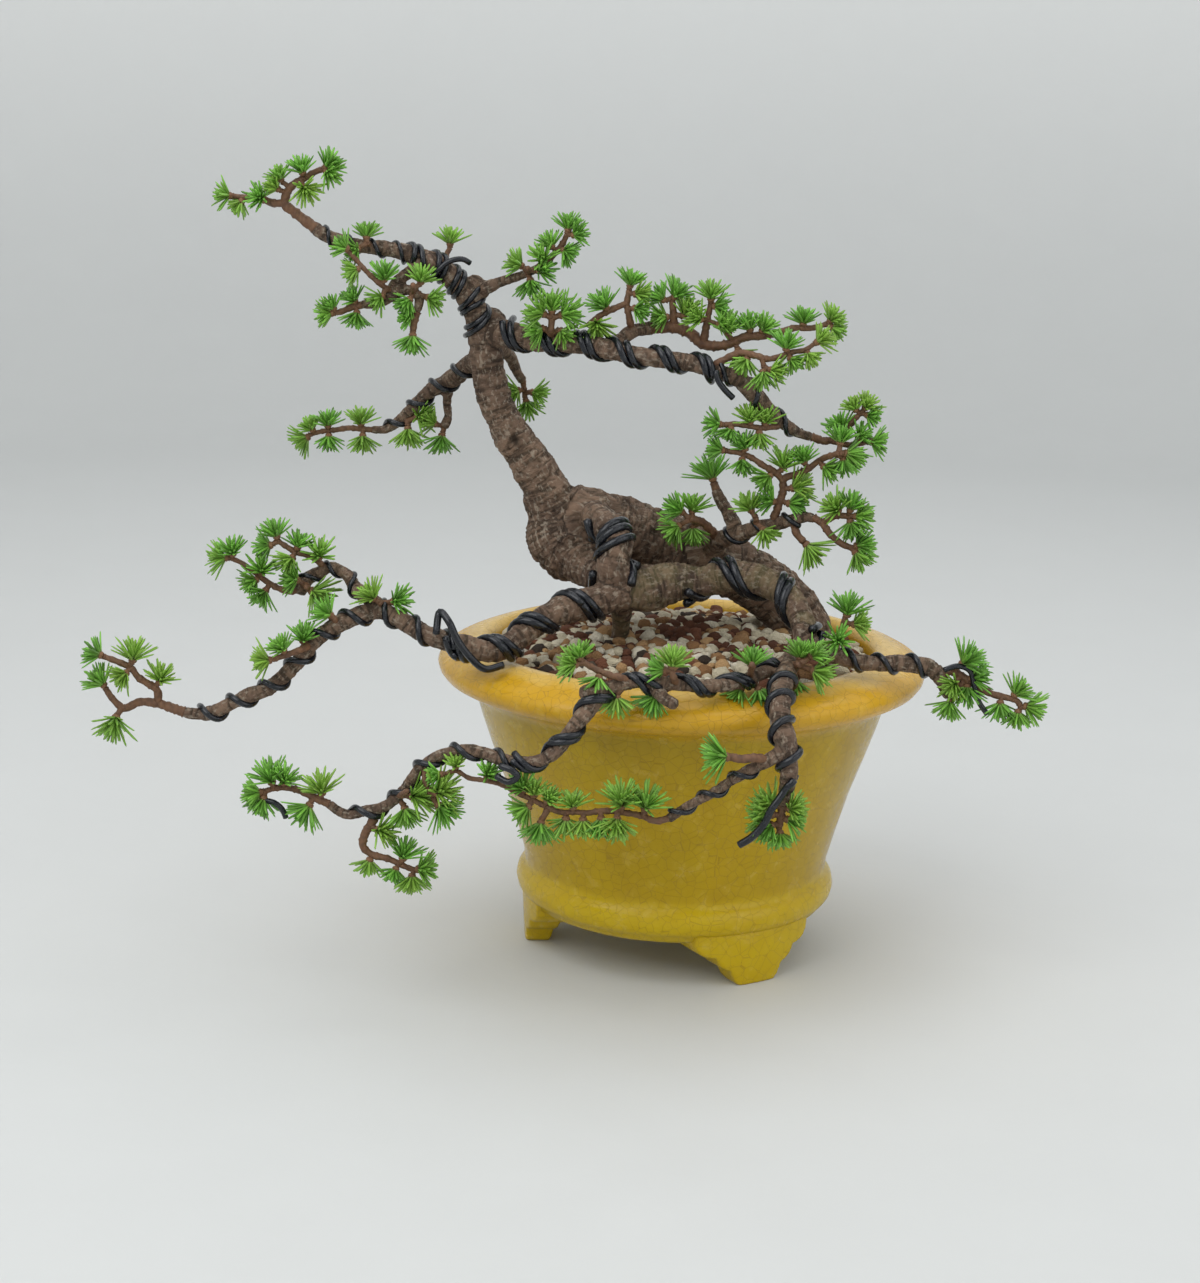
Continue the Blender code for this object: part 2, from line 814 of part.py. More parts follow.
# Colours, as linear red, green and blue, then roughness and metallic value.
LOOKS = {
    "glaze": ((0.42, 0.24, 0.02), 0.22, 0.0),
    "plastic": ((0.02, 0.02, 0.02), 0.6, 0.0),
    "grain": ((0.22, 0.13, 0.08), 0.95, 0.0),
    "bark": ((0.13, 0.09, 0.06), 0.9, 0.0),
    "anodised": ((0.02, 0.022, 0.028), 0.35, 0.9),
    "needle": ((0.12, 0.30, 0.03), 0.6, 0.0),
}


def seen(across, down, depth):
    """Give the place at a depth behind the pot's axis that shows at a point of the front view."""
    forward = Vector((0.0, math.cos(EYE_PITCH), -math.sin(EYE_PITCH)))
    level = Vector((1.0, 0.0, 0.0))
    above = Vector((0.0, math.sin(EYE_PITCH), math.cos(EYE_PITCH)))
    right = level * math.cos(EYE_ROLL) + above * math.sin(EYE_ROLL)
    up = above * math.cos(EYE_ROLL) - level * math.sin(EYE_ROLL)
    ray = forward * EYE_FOCAL
    ray += right * (across - PICTURE_MIDDLE_ACROSS)
    ray += up * (PICTURE_MIDDLE_DOWN - down)
    return EYE + ray * ((depth * MM - EYE.y) / ray.y)


def clear_scene():
    """Remove what the file holds."""
    for item in list(bpy.data.objects):
        bpy.data.objects.remove(item)


def material(name):
    """Make one of the looks as a Principled material."""
    found = bpy.data.materials.get(name)
    if found:
        return found
    colour, roughness, metallic = LOOKS[name]
    made = bpy.data.materials.new(name)
    made.use_nodes = True
    shader = made.node_tree.nodes["Principled BSDF"]
    shader.inputs["Base Color"].default_value = (*colour, 1.0)
    shader.inputs["Roughness"].default_value = roughness
    shader.inputs["Metallic"].default_value = metallic
    return made


def add_mesh(name, mesh):
    """Put a bmesh in the scene as an object."""
    data = bpy.data.meshes.new(name)
    mesh.to_mesh(data)
    mesh.free()
    made = bpy.data.objects.new(name, data)
    bpy.context.scene.collection.objects.link(made)
    return made


def settle(target):
    """Apply an object's modifiers, or turn a curve into a mesh with its caps welded."""
    bpy.context.view_layer.update()
    graph = bpy.context.evaluated_depsgraph_get()
    data = bpy.data.meshes.new_from_object(target.evaluated_get(graph))
    mesh = bmesh.new()
    mesh.from_mesh(data)
    if target.type == "CURVE":
        bmesh.ops.remove_doubles(mesh, verts=mesh.verts, dist=0.002 * MM)
    bmesh.ops.recalc_face_normals(mesh, faces=mesh.faces)
    mesh.to_mesh(data)
    mesh.free()
    if target.type == "MESH":
        target.modifiers.clear()
        target.data = data
        return target
    name = target.name
    place = target.matrix_world.copy()
    bpy.data.objects.remove(target)
    solid = bpy.data.objects.new(name, data)
    solid.matrix_world = place
    bpy.context.scene.collection.objects.link(solid)
    return solid


def combine(base, others, operation="UNION", solver="EXACT"):
    """Join solids into the first, or cut them from it, by one Boolean on a collection."""
    group = bpy.data.collections.new("operands")
    bpy.context.scene.collection.children.link(group)
    for other in others:
        bpy.context.scene.collection.objects.unlink(other)
        group.objects.link(other)
    modifier = base.modifiers.new("combine", "BOOLEAN")
    modifier.operation = operation
    modifier.operand_type = "COLLECTION"
    modifier.collection = group
    modifier.solver = solver
    settle(base)
    for other in others:
        bpy.data.objects.remove(other)
    bpy.data.collections.remove(group)
    return base


def tube(name, points, radii, resolution):
    """Make a solid tube through points, with a radius at each; 0 gives four sides, and each step two more."""
    curve = bpy.data.curves.new(name, "CURVE")
    curve.dimensions = "3D"
    curve.bevel_depth = MM
    curve.bevel_resolution = resolution
    curve.use_fill_caps = True
    spline = curve.splines.new("POLY")
    spline.points.add(len(points) - 1)
    for point, place, radius in zip(spline.points, points, radii):
        point.co = (*place, 1.0)
        point.radius = radius
    made = bpy.data.objects.new(name, curve)
    bpy.context.scene.collection.objects.link(made)
    return settle(made)


def turned(name, profile, steps):
    """Turn a closed profile of (radius, height) in millimetres round the pot's axis."""
    mesh = bmesh.new()
    corners = [mesh.verts.new((radius * MM, 0.0, height * MM)) for radius, height in profile]
    for first, second in zip(corners, corners[1:] + corners[:1]):
        if first.co.x > 0.0 or second.co.x > 0.0:
            mesh.edges.new((first, second))
    made = add_mesh(name, mesh)
    screw = made.modifiers.new("turn", "SCREW")
    screw.steps = steps
    screw.render_steps = steps
    screw.use_merge_vertices = True
    screw.merge_threshold = 0.0001 * MM
    return settle(made)


def slab(name, outline, depth):
    """Make a plate from a closed outline of (across, up) in millimetres, standing in XZ, of a given depth."""
    curve = bpy.data.curves.new(name, "CURVE")
    curve.dimensions = "2D"
    curve.fill_mode = "BOTH"
    curve.extrude = depth * MM / 2.0
    spline = curve.splines.new("POLY")
    spline.points.add(len(outline) - 1)
    for point, (across, up) in zip(spline.points, outline):
        point.co = (across * MM, up * MM, 0.0, 1.0)
    spline.use_cyclic_u = True
    made = bpy.data.objects.new(name, curve)
    made.matrix_world = Matrix.Rotation(math.pi / 2.0, 4, "X")
    bpy.context.scene.collection.objects.link(made)
    return settle(made)


def pot_wall_radius(height):
    """Give the wall's outer radius at a height."""
    share = (height - WALL_LOW_HEIGHT) / (NECK_HEIGHT - WALL_LOW_HEIGHT)
    return WALL_LOW_RADIUS + (NECK_RADIUS - WALL_LOW_RADIUS) * share


def foot_outline():
    """Give one side of a bracket foot: a wide top, a scalloped flank and a narrow toe."""
    half_top = FOOT_TOP_WIDTH / 2.0
    half_toe = FOOT_TOE_WIDTH / 2.0
    flank = [
        (half_top, FOOT_TOP), (half_top, 18.0), (24.0, 14.0), (20.0, 14.5), (18.5, 9.0), (13.0, 7.0),
        (12.0, 3.0), (half_toe, 0.0),
    ]
    return flank + [(-across, up) for across, up in reversed(flank)]


def make_pot():
    """Turn the bowl with its rolled lip, base band and drain hole, and join three bracket feet to it."""
    lip = [
        (NECK_RADIUS, NECK_HEIGHT), (NECK_RADIUS + 3.0, 119.5),
        (103.0, 124.0), (108.0, 127.5), (LIP_RADIUS, LIP_HEIGHT),
        (107.5, 135.5), (101.0, 139.0), (95.0, 141.0), (CREST_RADIUS, CREST_HEIGHT), (87.5, 139.0),
        (MOUTH_RADIUS, 134.0),
    ]
    inside = [
        (pot_wall_radius(INSIDE_TOP) - WALL, INSIDE_TOP), (pot_wall_radius(INSIDE_LOW) - WALL, INSIDE_LOW),
        (54.0, 33.0), (FLOOR_RADIUS, POT_FLOOR), (DRAIN_RADIUS, POT_FLOOR),
    ]
    under = [(DRAIN_RADIUS, POT_UNDERSIDE), (66.0, POT_UNDERSIDE)]
    band = [
        (BAND_RADIUS - 4.0, BAND_HEIGHT - BAND_HALF_HEIGHT), (BAND_RADIUS - 0.8, BAND_HEIGHT - 3.8),
        (BAND_RADIUS, BAND_HEIGHT), (BAND_RADIUS - 0.8, BAND_HEIGHT + 3.8),
        (BAND_RADIUS - 4.4, BAND_HEIGHT + BAND_HALF_HEIGHT),
    ]
    wall = [(pot_wall_radius(76.0) - 0.8, 76.0)]
    outside_in = list(reversed(under + band + wall + lip + inside))
    bowl = turned("pot", outside_in, POT_STEPS)
    ring = [
        (FOOT_TOE_RADIUS, 0.0), (FOOT_TOE_RADIUS + 1.5, FOOT_TOP), (FOOT_INNER_RADIUS - 4.0, FOOT_TOP),
        (FOOT_INNER_RADIUS, 0.0),
    ]
    feet = turned("feet", list(reversed(ring)), POT_STEPS)
    mesh = bmesh.new()
    for turn in FOOT_TURNS:
        plate = slab("foot", foot_outline(), 60.0)
        plate.data.transform(Matrix.Rotation(math.pi / 2.0, 4, "X"))
        plate.data.transform(Matrix.Translation((0.0, -FOOT_TOE_RADIUS * MM, 0.0)))
        plate.data.transform(Matrix.Rotation(math.radians(turn + 90.0), 4, "Z"))
        mesh.from_mesh(plate.data)
        bpy.data.objects.remove(plate)
    keep = add_mesh("feet_outlines", mesh)
    combine(feet, [keep], "INTERSECT")
    combine(bowl, [feet])
    bowl.data.materials.append(material("glaze"))
    return bowl


def make_drain_mesh():
    """Make the plastic mesh that lies over the drain hole."""
    bottom = POT_FLOOR + SEAT_GAP
    top = bottom + DRAIN_MESH_THICKNESS
    profile = [(0.0, bottom), (DRAIN_MESH_RADIUS, bottom), (DRAIN_MESH_RADIUS, top), (0.0, top)]
    mesh = turned("drain_mesh", list(reversed(profile)), DRAIN_MESH_STEPS)
    holes = []
    for across in (-0.9, 0.9):
        for deep in (-0.9, 0.9):
            cutter = bmesh.new()
            bmesh.ops.create_cube(cutter, size=DRAIN_MESH_HOLE * MM)
            place = Vector((across, deep, 0.0)) * DRAIN_MESH_HOLE * MM
            place.z = bottom * MM
            bmesh.ops.translate(cutter, verts=cutter.verts, vec=place)
            holes.append(add_mesh("mesh_hole", cutter))
    combine(mesh, holes, "DIFFERENCE")
    mesh.data.materials.append(material("plastic"))
    return mesh


def soil_height(radius):
    """Give the soil's height at a distance from the axis, in millimetres."""
    share = min(1.0, radius / 80.0)
    return SOIL_MIDDLE_HEIGHT - (SOIL_MIDDLE_HEIGHT - SOIL_EDGE_HEIGHT) * share * share


def make_soil():
    """Fill the pot, with grains standing out of the surface, and open the holes that the wood stands in."""
    floor = POT_FLOOR + SEAT_GAP
    recess = floor + DRAIN_MESH_THICKNESS + SEAT_GAP
    recess_radius = DRAIN_MESH_RADIUS + SEAT_GAP
    gap = SEAT_GAP * 1.3
    profile = [
        (0.0, recess), (recess_radius, recess), (recess_radius, floor), (FLOOR_RADIUS - gap, floor),
        (54.0 - gap, 33.0), (pot_wall_radius(INSIDE_LOW) - WALL - gap, INSIDE_LOW),
        (pot_wall_radius(INSIDE_TOP) - WALL - gap, INSIDE_TOP),
        (MOUTH_RADIUS - gap, soil_height(MOUTH_RADIUS)),
        (62.0, soil_height(62.0)), (34.0, soil_height(34.0)), (0.0, soil_height(0.0)),
    ]
    soil = turned("soil", list(reversed(profile)), POT_STEPS)
    dice = random.Random(41)
    grains = []
    for index in range(SOIL_GRAINS):
        radius = GRAINS_REACH * math.sqrt((index + 0.5) / SOIL_GRAINS)
        angle = index * GOLDEN_TURN
        size = dice.uniform(GRAIN_SMALLEST, GRAIN_LARGEST)
        grain = bmesh.new()
        bmesh.ops.create_cube(grain, size=size * MM)
        turn = Matrix.Rotation(dice.uniform(0.0, math.pi), 4, "X")
        turn = turn @ Matrix.Rotation(dice.uniform(0.0, math.pi), 4, "Y")
        height = soil_height(radius) + 0.12 * size
        place = Vector((radius * math.cos(angle), radius * math.sin(angle), height)) * MM
        bmesh.ops.transform(grain, matrix=Matrix.Translation(place) @ turn, verts=grain.verts)
        grains.append(add_mesh("grain", grain))
    combine(soil, grains)
    holes = []
    for name in LIMBS_IN_SOIL:
        points, radii = limb_route(name)
        wider = [radius + 1.2 * SEAT_GAP for radius in radii]
        points[0] = points[0] + (points[0] - points[1]).normalized() * SEAT_GAP * MM
        if name != "trunk":
            points[-1] = points[-1] + (points[-1] - points[-2]).normalized() * SEAT_GAP * MM
        holes.append(tube("hole", points, wider, limb_sides(radii)))
    combine(soil, holes, "DIFFERENCE")
    keep_largest(soil)
    soil.data.materials.append(material("grain"))
    return soil


def keep_largest(target):
    """Drop loose scraps, keeping the body with the most faces."""
    mesh = bmesh.new()
    mesh.from_mesh(target.data)
    left = set(mesh.verts)
    bodies = []
    while left:
        start = left.pop()
        body = {start}
        queue = [start]
        while queue:
            for edge in queue.pop().link_edges:
                for vert in edge.verts:
                    if vert in left:
                        left.remove(vert)
                        body.add(vert)
                        queue.append(vert)
        bodies.append(body)
    bodies.sort(key=len)
    for body in bodies[:-1]:
        bmesh.ops.delete(mesh, geom=list(body), context="VERTS")
    mesh.to_mesh(target.data)
    mesh.free()


def limb_route(name):
    """Give a limb's places and its radii in millimetres."""
    points = [seen(across, down, depth) for across, down, depth, radius in LIMBS[name]]
    radii = [radius for across, down, depth, radius in LIMBS[name]]
    return points, radii


def limb_sides(radii):
    """Give the bevel resolution for a limb: thick ones get more sides."""
    widest = max(radii)
    if widest > 10.0:
        return 2
    if widest > 3.0:
        return 1
    return 0


def make_wood():
    """Join all limbs into the one body that grew."""
    limbs = []
    for name in LIMBS:
        points, radii = limb_route(name)
        limbs.append(tube(name, points, radii, limb_sides(radii)))
    wood = combine(limbs[0], limbs[1:])
    wood.name = "wood"
    keep_largest(wood)
    wood.data.materials.append(material("bark"))
    return wood


def tree_of(targets):
    """Give a search tree over the faces of some solids."""
    places = []
    faces = []
    for target in targets:
        first = len(places)
        places.extend(vert.co.copy() for vert in target.data.vertices)
        faces.extend([first + corner for corner in face.vertices] for face in target.data.polygons)
    return BVHTree.FromPolygons(places, faces)


def room(tree, place):
    """Give the distance from a place to a solid's surface, below zero inside it, and the way out."""
    nearest, normal, face, distance = tree.find_nearest(place)
    away = place - nearest
    if away.dot(normal) < 0.0:
        return -distance, normal
    if distance < 1e-9:
        return 0.0, normal
    return distance, away.normalized()


def along(points, share):
    """Give the place and direction at a share of a route's length, with the leg's index and share."""
    lengths = [(second - first).length for first, second in zip(points, points[1:])]
    target = share * sum(lengths)
    for index, length in enumerate(lengths):
        if target <= length or index == len(lengths) - 1:
            leg = points[index + 1] - points[index]
            return points[index] + leg * (target / length), leg.normalized(), index, min(1.0, target / length)
        target -= length


def ease(places, clearance, tree, rooted_first):
    """Push a route clear of what is near, leaving a rooted first place where it is."""
    for turn in range(EASING_ROUNDS):
        for index in range(len(places) - 1):
            for share in (0.0, 0.25, 0.5, 0.75, 1.0):
                middle = places[index].lerp(places[index + 1], share)
                needed = clearance
                if rooted_first:
                    needed = min(clearance, 0.5 * (middle - places[0]).length - ROOT_DEPTH * MM)
                distance, away = room(tree, middle)
                if distance < needed:
                    push = away * (needed - distance + EASING_EXTRA * MM) * EASING_PUSH
                    if index > 0 or not rooted_first:
                        places[index] = places[index] + push * (1.0 - share)
                    places[index + 1] = places[index + 1] + push * share


def make_wire(name, solids_tree):
    """Wind a wire round its limb, and push it clear of what is near."""
    limb, first, last, turns, start, radius, free_end = WIRES[name]
    points, radii = limb_route(limb)
    count = int(turns * WIRE_POINTS_A_TURN)
    clearance = (radius * 1.12 + WIRE_GAP) * MM
    side = None
    places = []
    for step in range(count + 1):
        share = first + (last - first) * step / count
        place, direction, index, part = along(points, share)
        if side is None:
            side = direction.orthogonal()
        side = (side - direction * side.dot(direction)).normalized()
        other = direction.cross(side)
        around = math.radians(start) + 2.0 * math.pi * turns * step / count
        wood_radius = (radii[index] * (1.0 - part) + radii[index + 1] * part) * MM
        out = (wood_radius + clearance) / math.cos(math.pi / WIRE_POINTS_A_TURN)
        places.append(place + (side * math.cos(around) + other * math.sin(around)) * out)
    places.extend(seen(across, down, depth) for across, down, depth in free_end)
    ease(places, clearance, solids_tree, False)
    wire = tube(name, places, [radius] * len(places), 0)
    wire.data.materials.append(material("anodised"))
    return wire


def picture_way(angle, lean):
    """Turn a direction on the front view and a lean towards the viewer into a direction in space."""
    across = math.cos(math.radians(angle)) * math.cos(math.radians(lean))
    up = math.sin(math.radians(angle)) * math.cos(math.radians(lean))
    return Vector((across, -math.sin(math.radians(lean)), up)).normalized()


def nearest_limb(across, down):
    """Give the depth of the limb whose middle line passes nearest to a point of the front view."""
    best = None
    for route in LIMBS.values():
        for (x0, y0, d0, r0), (x1, y1, d1, r1) in zip(route, route[1:]):
            leg = (x1 - x0) ** 2 + (y1 - y0) ** 2
            share = ((across - x0) * (x1 - x0) + (down - y0) * (y1 - y0)) / leg
            share = min(1.0, max(0.0, share))
            x = x0 + (x1 - x0) * share
            y = y0 + (y1 - y0) * share
            apart = math.hypot(across - x, down - y)
            if best is None or apart < best[0]:
                best = (apart, x, y, d0 + (d1 - d0) * share)
    return best[1:]


def rooted(points, radius, tree):
    """Start a twig just clear of the wood that it grows from, and of a wire there."""
    reach = sum((second - first).length for first, second in zip(points, points[1:]))
    travelled = 0.0
    while travelled < FURTHEST_START * reach:
        place, direction, index, part = along(points, travelled / reach)
        side = direction.orthogonal().normalized() * radius * 1.05 * MM
        rim = [place]
        for ahead in (0.0, 0.7 * radius, 1.4 * radius, 2.1 * radius):
            for turn in range(8):
                around = Matrix.Rotation(math.radians(45.0 * turn), 3, direction) @ side
                rim.append(place + direction * ahead * MM + around)
        if min(room(tree, spot)[0] for spot in rim) >= SEAT_GAP * MM:
            break
        travelled += 0.1 * MM
    return [place] + points[index + 1:]


def twig_side(twigs, place):
    """Give the point of some twigs' middle lines nearest to a place."""
    best = None
    legs = [pair for points in twigs for pair in zip(points, points[1:])]
    for first, second in legs:
        leg = second - first
        share = (place - first).dot(leg) / leg.length_squared
        share = max(0.0, min(1.0 - TWIG_END * MM / leg.length, share))
        spot = first + leg * share
        if best is None or (spot - place).length < (best - place).length:
            best = spot
    return best


def bud_mesh(tuft):
    """Make a small faceted bud, turned to the way its tuft points, with its root drawn down into the twig."""
    mesh = bmesh.new()
    sides = BUD_SIDES + (tuft["size"] > LARGE_TUFT)
    bmesh.ops.create_uvsphere(mesh, u_segments=sides, v_segments=2, radius=BUD_RADIUS * MM)
    turn = tuft["way"].to_track_quat("Z", "Y").to_matrix().to_4x4() @ Matrix.Rotation(tuft["spin"], 4, "Z")
    bmesh.ops.transform(mesh, matrix=Matrix.Translation(tuft["bud"]) @ turn, verts=mesh.verts)
    root = min(mesh.verts, key=lambda vert: (vert.co - tuft["bud"]).dot(tuft["way"]))
    root.co = tuft["foot"]
    return mesh


def bud_fits(tuft, solids_tree, earlier):
    """Say whether a bud and its root stay clear of the wood, the wires and the sprays placed before it."""
    for share in (0.0, 0.2, 0.4, 0.6, 0.8):
        spot = tuft["bud"].lerp(tuft["foot"], share)
        needed = (BUD_RADIUS * (1.0 - share) + SEAT_GAP) * MM
        if room(solids_tree, spot)[0] < needed:
            return False
        for tree in earlier:
            if tree.find_nearest(spot)[3] < needed:
                return False
    return True


def plan_spray(name, solids_tree, earlier, sway, dice):
    """Place a spray's twigs, bent aside by a sway, and its buds, clear of the wood and wires."""
    routes, radius, end_radius, tufts = SPRAYS[name]
    across, down, depth = nearest_limb(*routes[0][0][:2])
    twigs = [[seen(x, y, depth + more) + sway for x, y, more in route] for route in routes]
    twigs[0][0] = seen(across, down, depth)
    for points in twigs:
        ease(points, (radius + NEEDLE_GAP) * MM, solids_tree, points is twigs[0])
    twigs[0] = rooted(twigs[0], radius, solids_tree)
    for points in twigs[1:]:
        points[0] = twig_side(twigs[:1], points[0])
    plans = []
    for bud_across, bud_down, angle, lean, size in tufts:
        way = picture_way(angle, lean)
        guess = twig_side(twigs, seen(bud_across, bud_down, depth))
        bud = seen(bud_across, bud_down, guess.y / MM) + sway
        bud.y -= BUD_LEAN * math.sin(math.radians(lean)) * MM
        for attempt in range(BUD_TRIES):
            distance, away = room(solids_tree, bud)
            if distance >= (BUD_RADIUS + NEEDLE_GAP) * MM:
                break
            bud = bud + (way + away * 0.7) * 0.25 * MM
        spin = dice.uniform(0.0, math.pi / 2.0)
        seed = dice.random()
        tip = twigs[0][-1]
        spots = [bud, bud + way * MM, bud + way * 2.0 * MM]
        spots += [bud.lerp(tip, 0.3), bud.lerp(tip, 0.6), tip + way * MM]
        for spot in spots:
            foot = twig_side(twigs, spot)
            axis = way
            if (spot - foot).length > BUD_RADIUS * MM:
                axis = (way + (spot - foot).normalized() * 1.6).normalized()
            else:
                spot = foot + way * BUD_RADIUS * MM
            tuft = {"bud": spot, "foot": foot, "way": axis, "size": size, "spin": spin, "dice": seed}
            apart = all((spot - other["bud"]).length > 1.6 * BUD_RADIUS * MM for other in plans)
            if apart and bud_fits(tuft, solids_tree, earlier):
                plans.append(tuft)
                break
    return {"name": name, "twigs": twigs, "radii": (radius, end_radius), "tufts": plans}


def spray_core(plan):
    """Make a spray's twigs and buds as separate solids."""
    solids = []
    for points in plan["twigs"]:
        start, end = plan["radii"]
        if solids:
            start = (start + end) / 2.0
        taper = [start + (end - start) * index / (len(points) - 1) for index in range(len(points))]
        solids.append(tube(plan["name"], points, taper, 0))
    for tuft in plan["tufts"]:
        solids.append(add_mesh("bud", bud_mesh(tuft)))
    return solids


def needle_fits(start, tip, solids_tree, others, segments):
    """Say whether a needle stays clear of the wood, the wires, the other sprays' twigs and their needles."""
    reach = (tip - start).length
    way = (tip - start).normalized()
    for tree in [solids_tree] + others:
        if tree.ray_cast(start, way, reach + NEEDLE_GAP * MM)[0] is not None:
            return False
        for share in (0.15, 0.3, 0.45, 0.6, 0.8, 1.0):
            nearest = tree.find_nearest(start.lerp(tip, share), (NEEDLE_GAP + 0.75 * (1.0 - share)) * MM)
            if nearest[0] is not None:
                return False
    for low, high in segments:
        for share in (0.1, 0.25, 0.4, 0.55, 0.7, 0.85, 1.0):
            spot = start.lerp(tip, share)
            leg = high - low
            other_share = min(1.0, max(0.0, (spot - low).dot(leg) / leg.length_squared))
            thickness = 0.8 * (1.0 - share) + 0.8 * (1.0 - other_share)
            if (low + leg * other_share - spot).length < (NEEDLE_GAP + thickness) * MM:
                return False
    return True


def grow_needles(tuft, bud, solids_tree, others, segments):
    """Draw a bud's faces out into needles, bent or shortened where something is in their way."""
    dice = random.Random(int(tuft["dice"] * 1e6))
    mesh = bmesh.new()
    mesh.from_mesh(bud.data)
    mesh.faces.ensure_lookup_table()
    faces = list(mesh.faces)
    bmesh.ops.recalc_face_normals(mesh, faces=faces)
    grown = []
    for face in faces:
        waist = 0.3 * BUD_RADIUS * MM
        ring = [vert.co for vert in face.verts if abs((vert.co - tuft["bud"]).dot(tuft["way"])) < waist]
        middle = (ring[0] + ring[1]) / 2.0 if len(ring) == 2 else face.calc_center_median()
        outward = (middle - tuft["bud"]).normalized()
        front = (face.calc_center_median() - tuft["bud"]).dot(tuft["way"]) > 0.0
        side = (outward - tuft["way"] * outward.dot(tuft["way"])).normalized()
        rise = math.radians(dice.uniform(42.0, 66.0) if front else dice.uniform(-4.0, 20.0))
        twist = Matrix.Rotation(math.radians(dice.uniform(-14.0, 14.0)), 3, tuft["way"])
        length = NEEDLE_LENGTH * MM * tuft["size"] * dice.uniform(0.82, 1.12)
        for bend, share in ((0, 1), (12, 1), (-12, 1), (0, 0.75), (14, 0.75), (0, 0.5)):
            angle = rise + math.radians(bend)
            if not front and angle > math.radians(30.0):
                continue
            direction = twist @ side * math.cos(angle) + tuft["way"] * math.sin(angle)
            tip = tuft["bud"] + direction * length * share
            low = middle if front else middle.lerp(tuft["foot"], 0.7)
            clear = needle_fits(middle, tip, solids_tree, others, segments)
            if clear and needle_fits(low, tip, solids_tree, others, []):
                grown.append((face, middle, tip))
                break
    for face, middle, tip in grown:
        raised = bmesh.ops.poke(mesh, faces=[face])
        raised["verts"][0].co = tip
    mesh.to_mesh(bud.data)
    mesh.free()
    return [(middle, tip) for face, middle, tip in grown]


def make_sprays(solids_tree):
    """Make all sprays: first their twigs and buds, then the needles between them, and join each one."""
    dice = random.Random(7)
    plans = []
    cores = []
    trees = []
    for name in SPRAYS:
        for attempt in range(PLACING_TRIES):
            reach = attempt * PLACING_STEP * MM
            sway = Vector((dice.uniform(-1.0, 1.0), dice.uniform(-1.0, 1.0), dice.uniform(-1.0, 1.0))) * reach
            plan = plan_spray(name, solids_tree, trees, sway, dice)
            core = spray_core(plan)
            tree = tree_of(core)
            if not any(tree.overlap(other) for other in [solids_tree] + trees):
                break
            for solid in core:
                bpy.data.objects.remove(solid)
        plans.append(plan)
        cores.append(core)
        trees.append(tree)
    needles = []
    made = []
    for index, plan in enumerate(plans):
        others = []
        for other, tree in enumerate(trees):
            near = min(tree.find_nearest(tuft["bud"])[3] for tuft in plan["tufts"])
            if other != index and near < 20.0 * MM:
                others.append(tree)
        buds = [solid for solid in cores[index] if solid.name.startswith("bud")]
        for tuft, bud in zip(plan["tufts"], buds):
            reach = 3.0 * NEEDLE_LENGTH * MM * tuft["size"]
            close = [pair for pair in needles if (pair[0] - tuft["bud"]).length < reach]
            needles.extend(grow_needles(tuft, bud, solids_tree, others, close))
        spray = combine(cores[index][0], cores[index][1:], solver="MANIFOLD")
        spray.name = plan["name"]
        keep_largest(spray)
        spray.data.materials.append(material("needle"))
        made.append(spray)
    return made


def stand_at_origin(targets):
    """Move everything so that the middle of the outline's underside is the origin."""
    low = [min(vert.co[axis] for target in targets for vert in target.data.vertices) for axis in range(3)]
    high = [max(vert.co[axis] for target in targets for vert in target.data.vertices) for axis in range(3)]
    shift = Vector((-(low[0] + high[0]) / 2.0, -(low[1] + high[1]) / 2.0, -low[2]))
    for target in targets:
        target.data.transform(Matrix.Translation(shift))


def main():
    """Build the bonsai."""
    clear_scene()
    pot = make_pot()
    drain_mesh = make_drain_mesh()
    soil = make_soil()
    wood = make_wood()
    wires = []
    for name in WIRES:
        wires.append(make_wire(name, tree_of([wood, pot, soil] + wires)))
    sprays = make_sprays(tree_of([wood, pot, soil] + wires))
    parts = [pot, drain_mesh, soil, wood] + wires + sprays
    stand_at_origin(parts)
    home = bpy.data.collections.new("larch_bonsai")
    bpy.context.scene.collection.children.link(home)
    for part in parts:
        bpy.context.scene.collection.objects.unlink(part)
        home.objects.link(part)


main()
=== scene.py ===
"""Larch bonsai in a round glazed pot: the pot, soil, wood, wires and sprays that dress its frame.

Metres, +Z up, seen from -Y. Routes are read off a front view: (across, down) on that picture, the depth
behind the pot's axis and, for limbs, the radius, both in millimetres. seen() turns them into places.
"""

import math
import random

import bmesh
import bpy
import numpy
from mathutils import Matrix, Vector, kdtree, noise
from mathutils.bvhtree import BVHTree


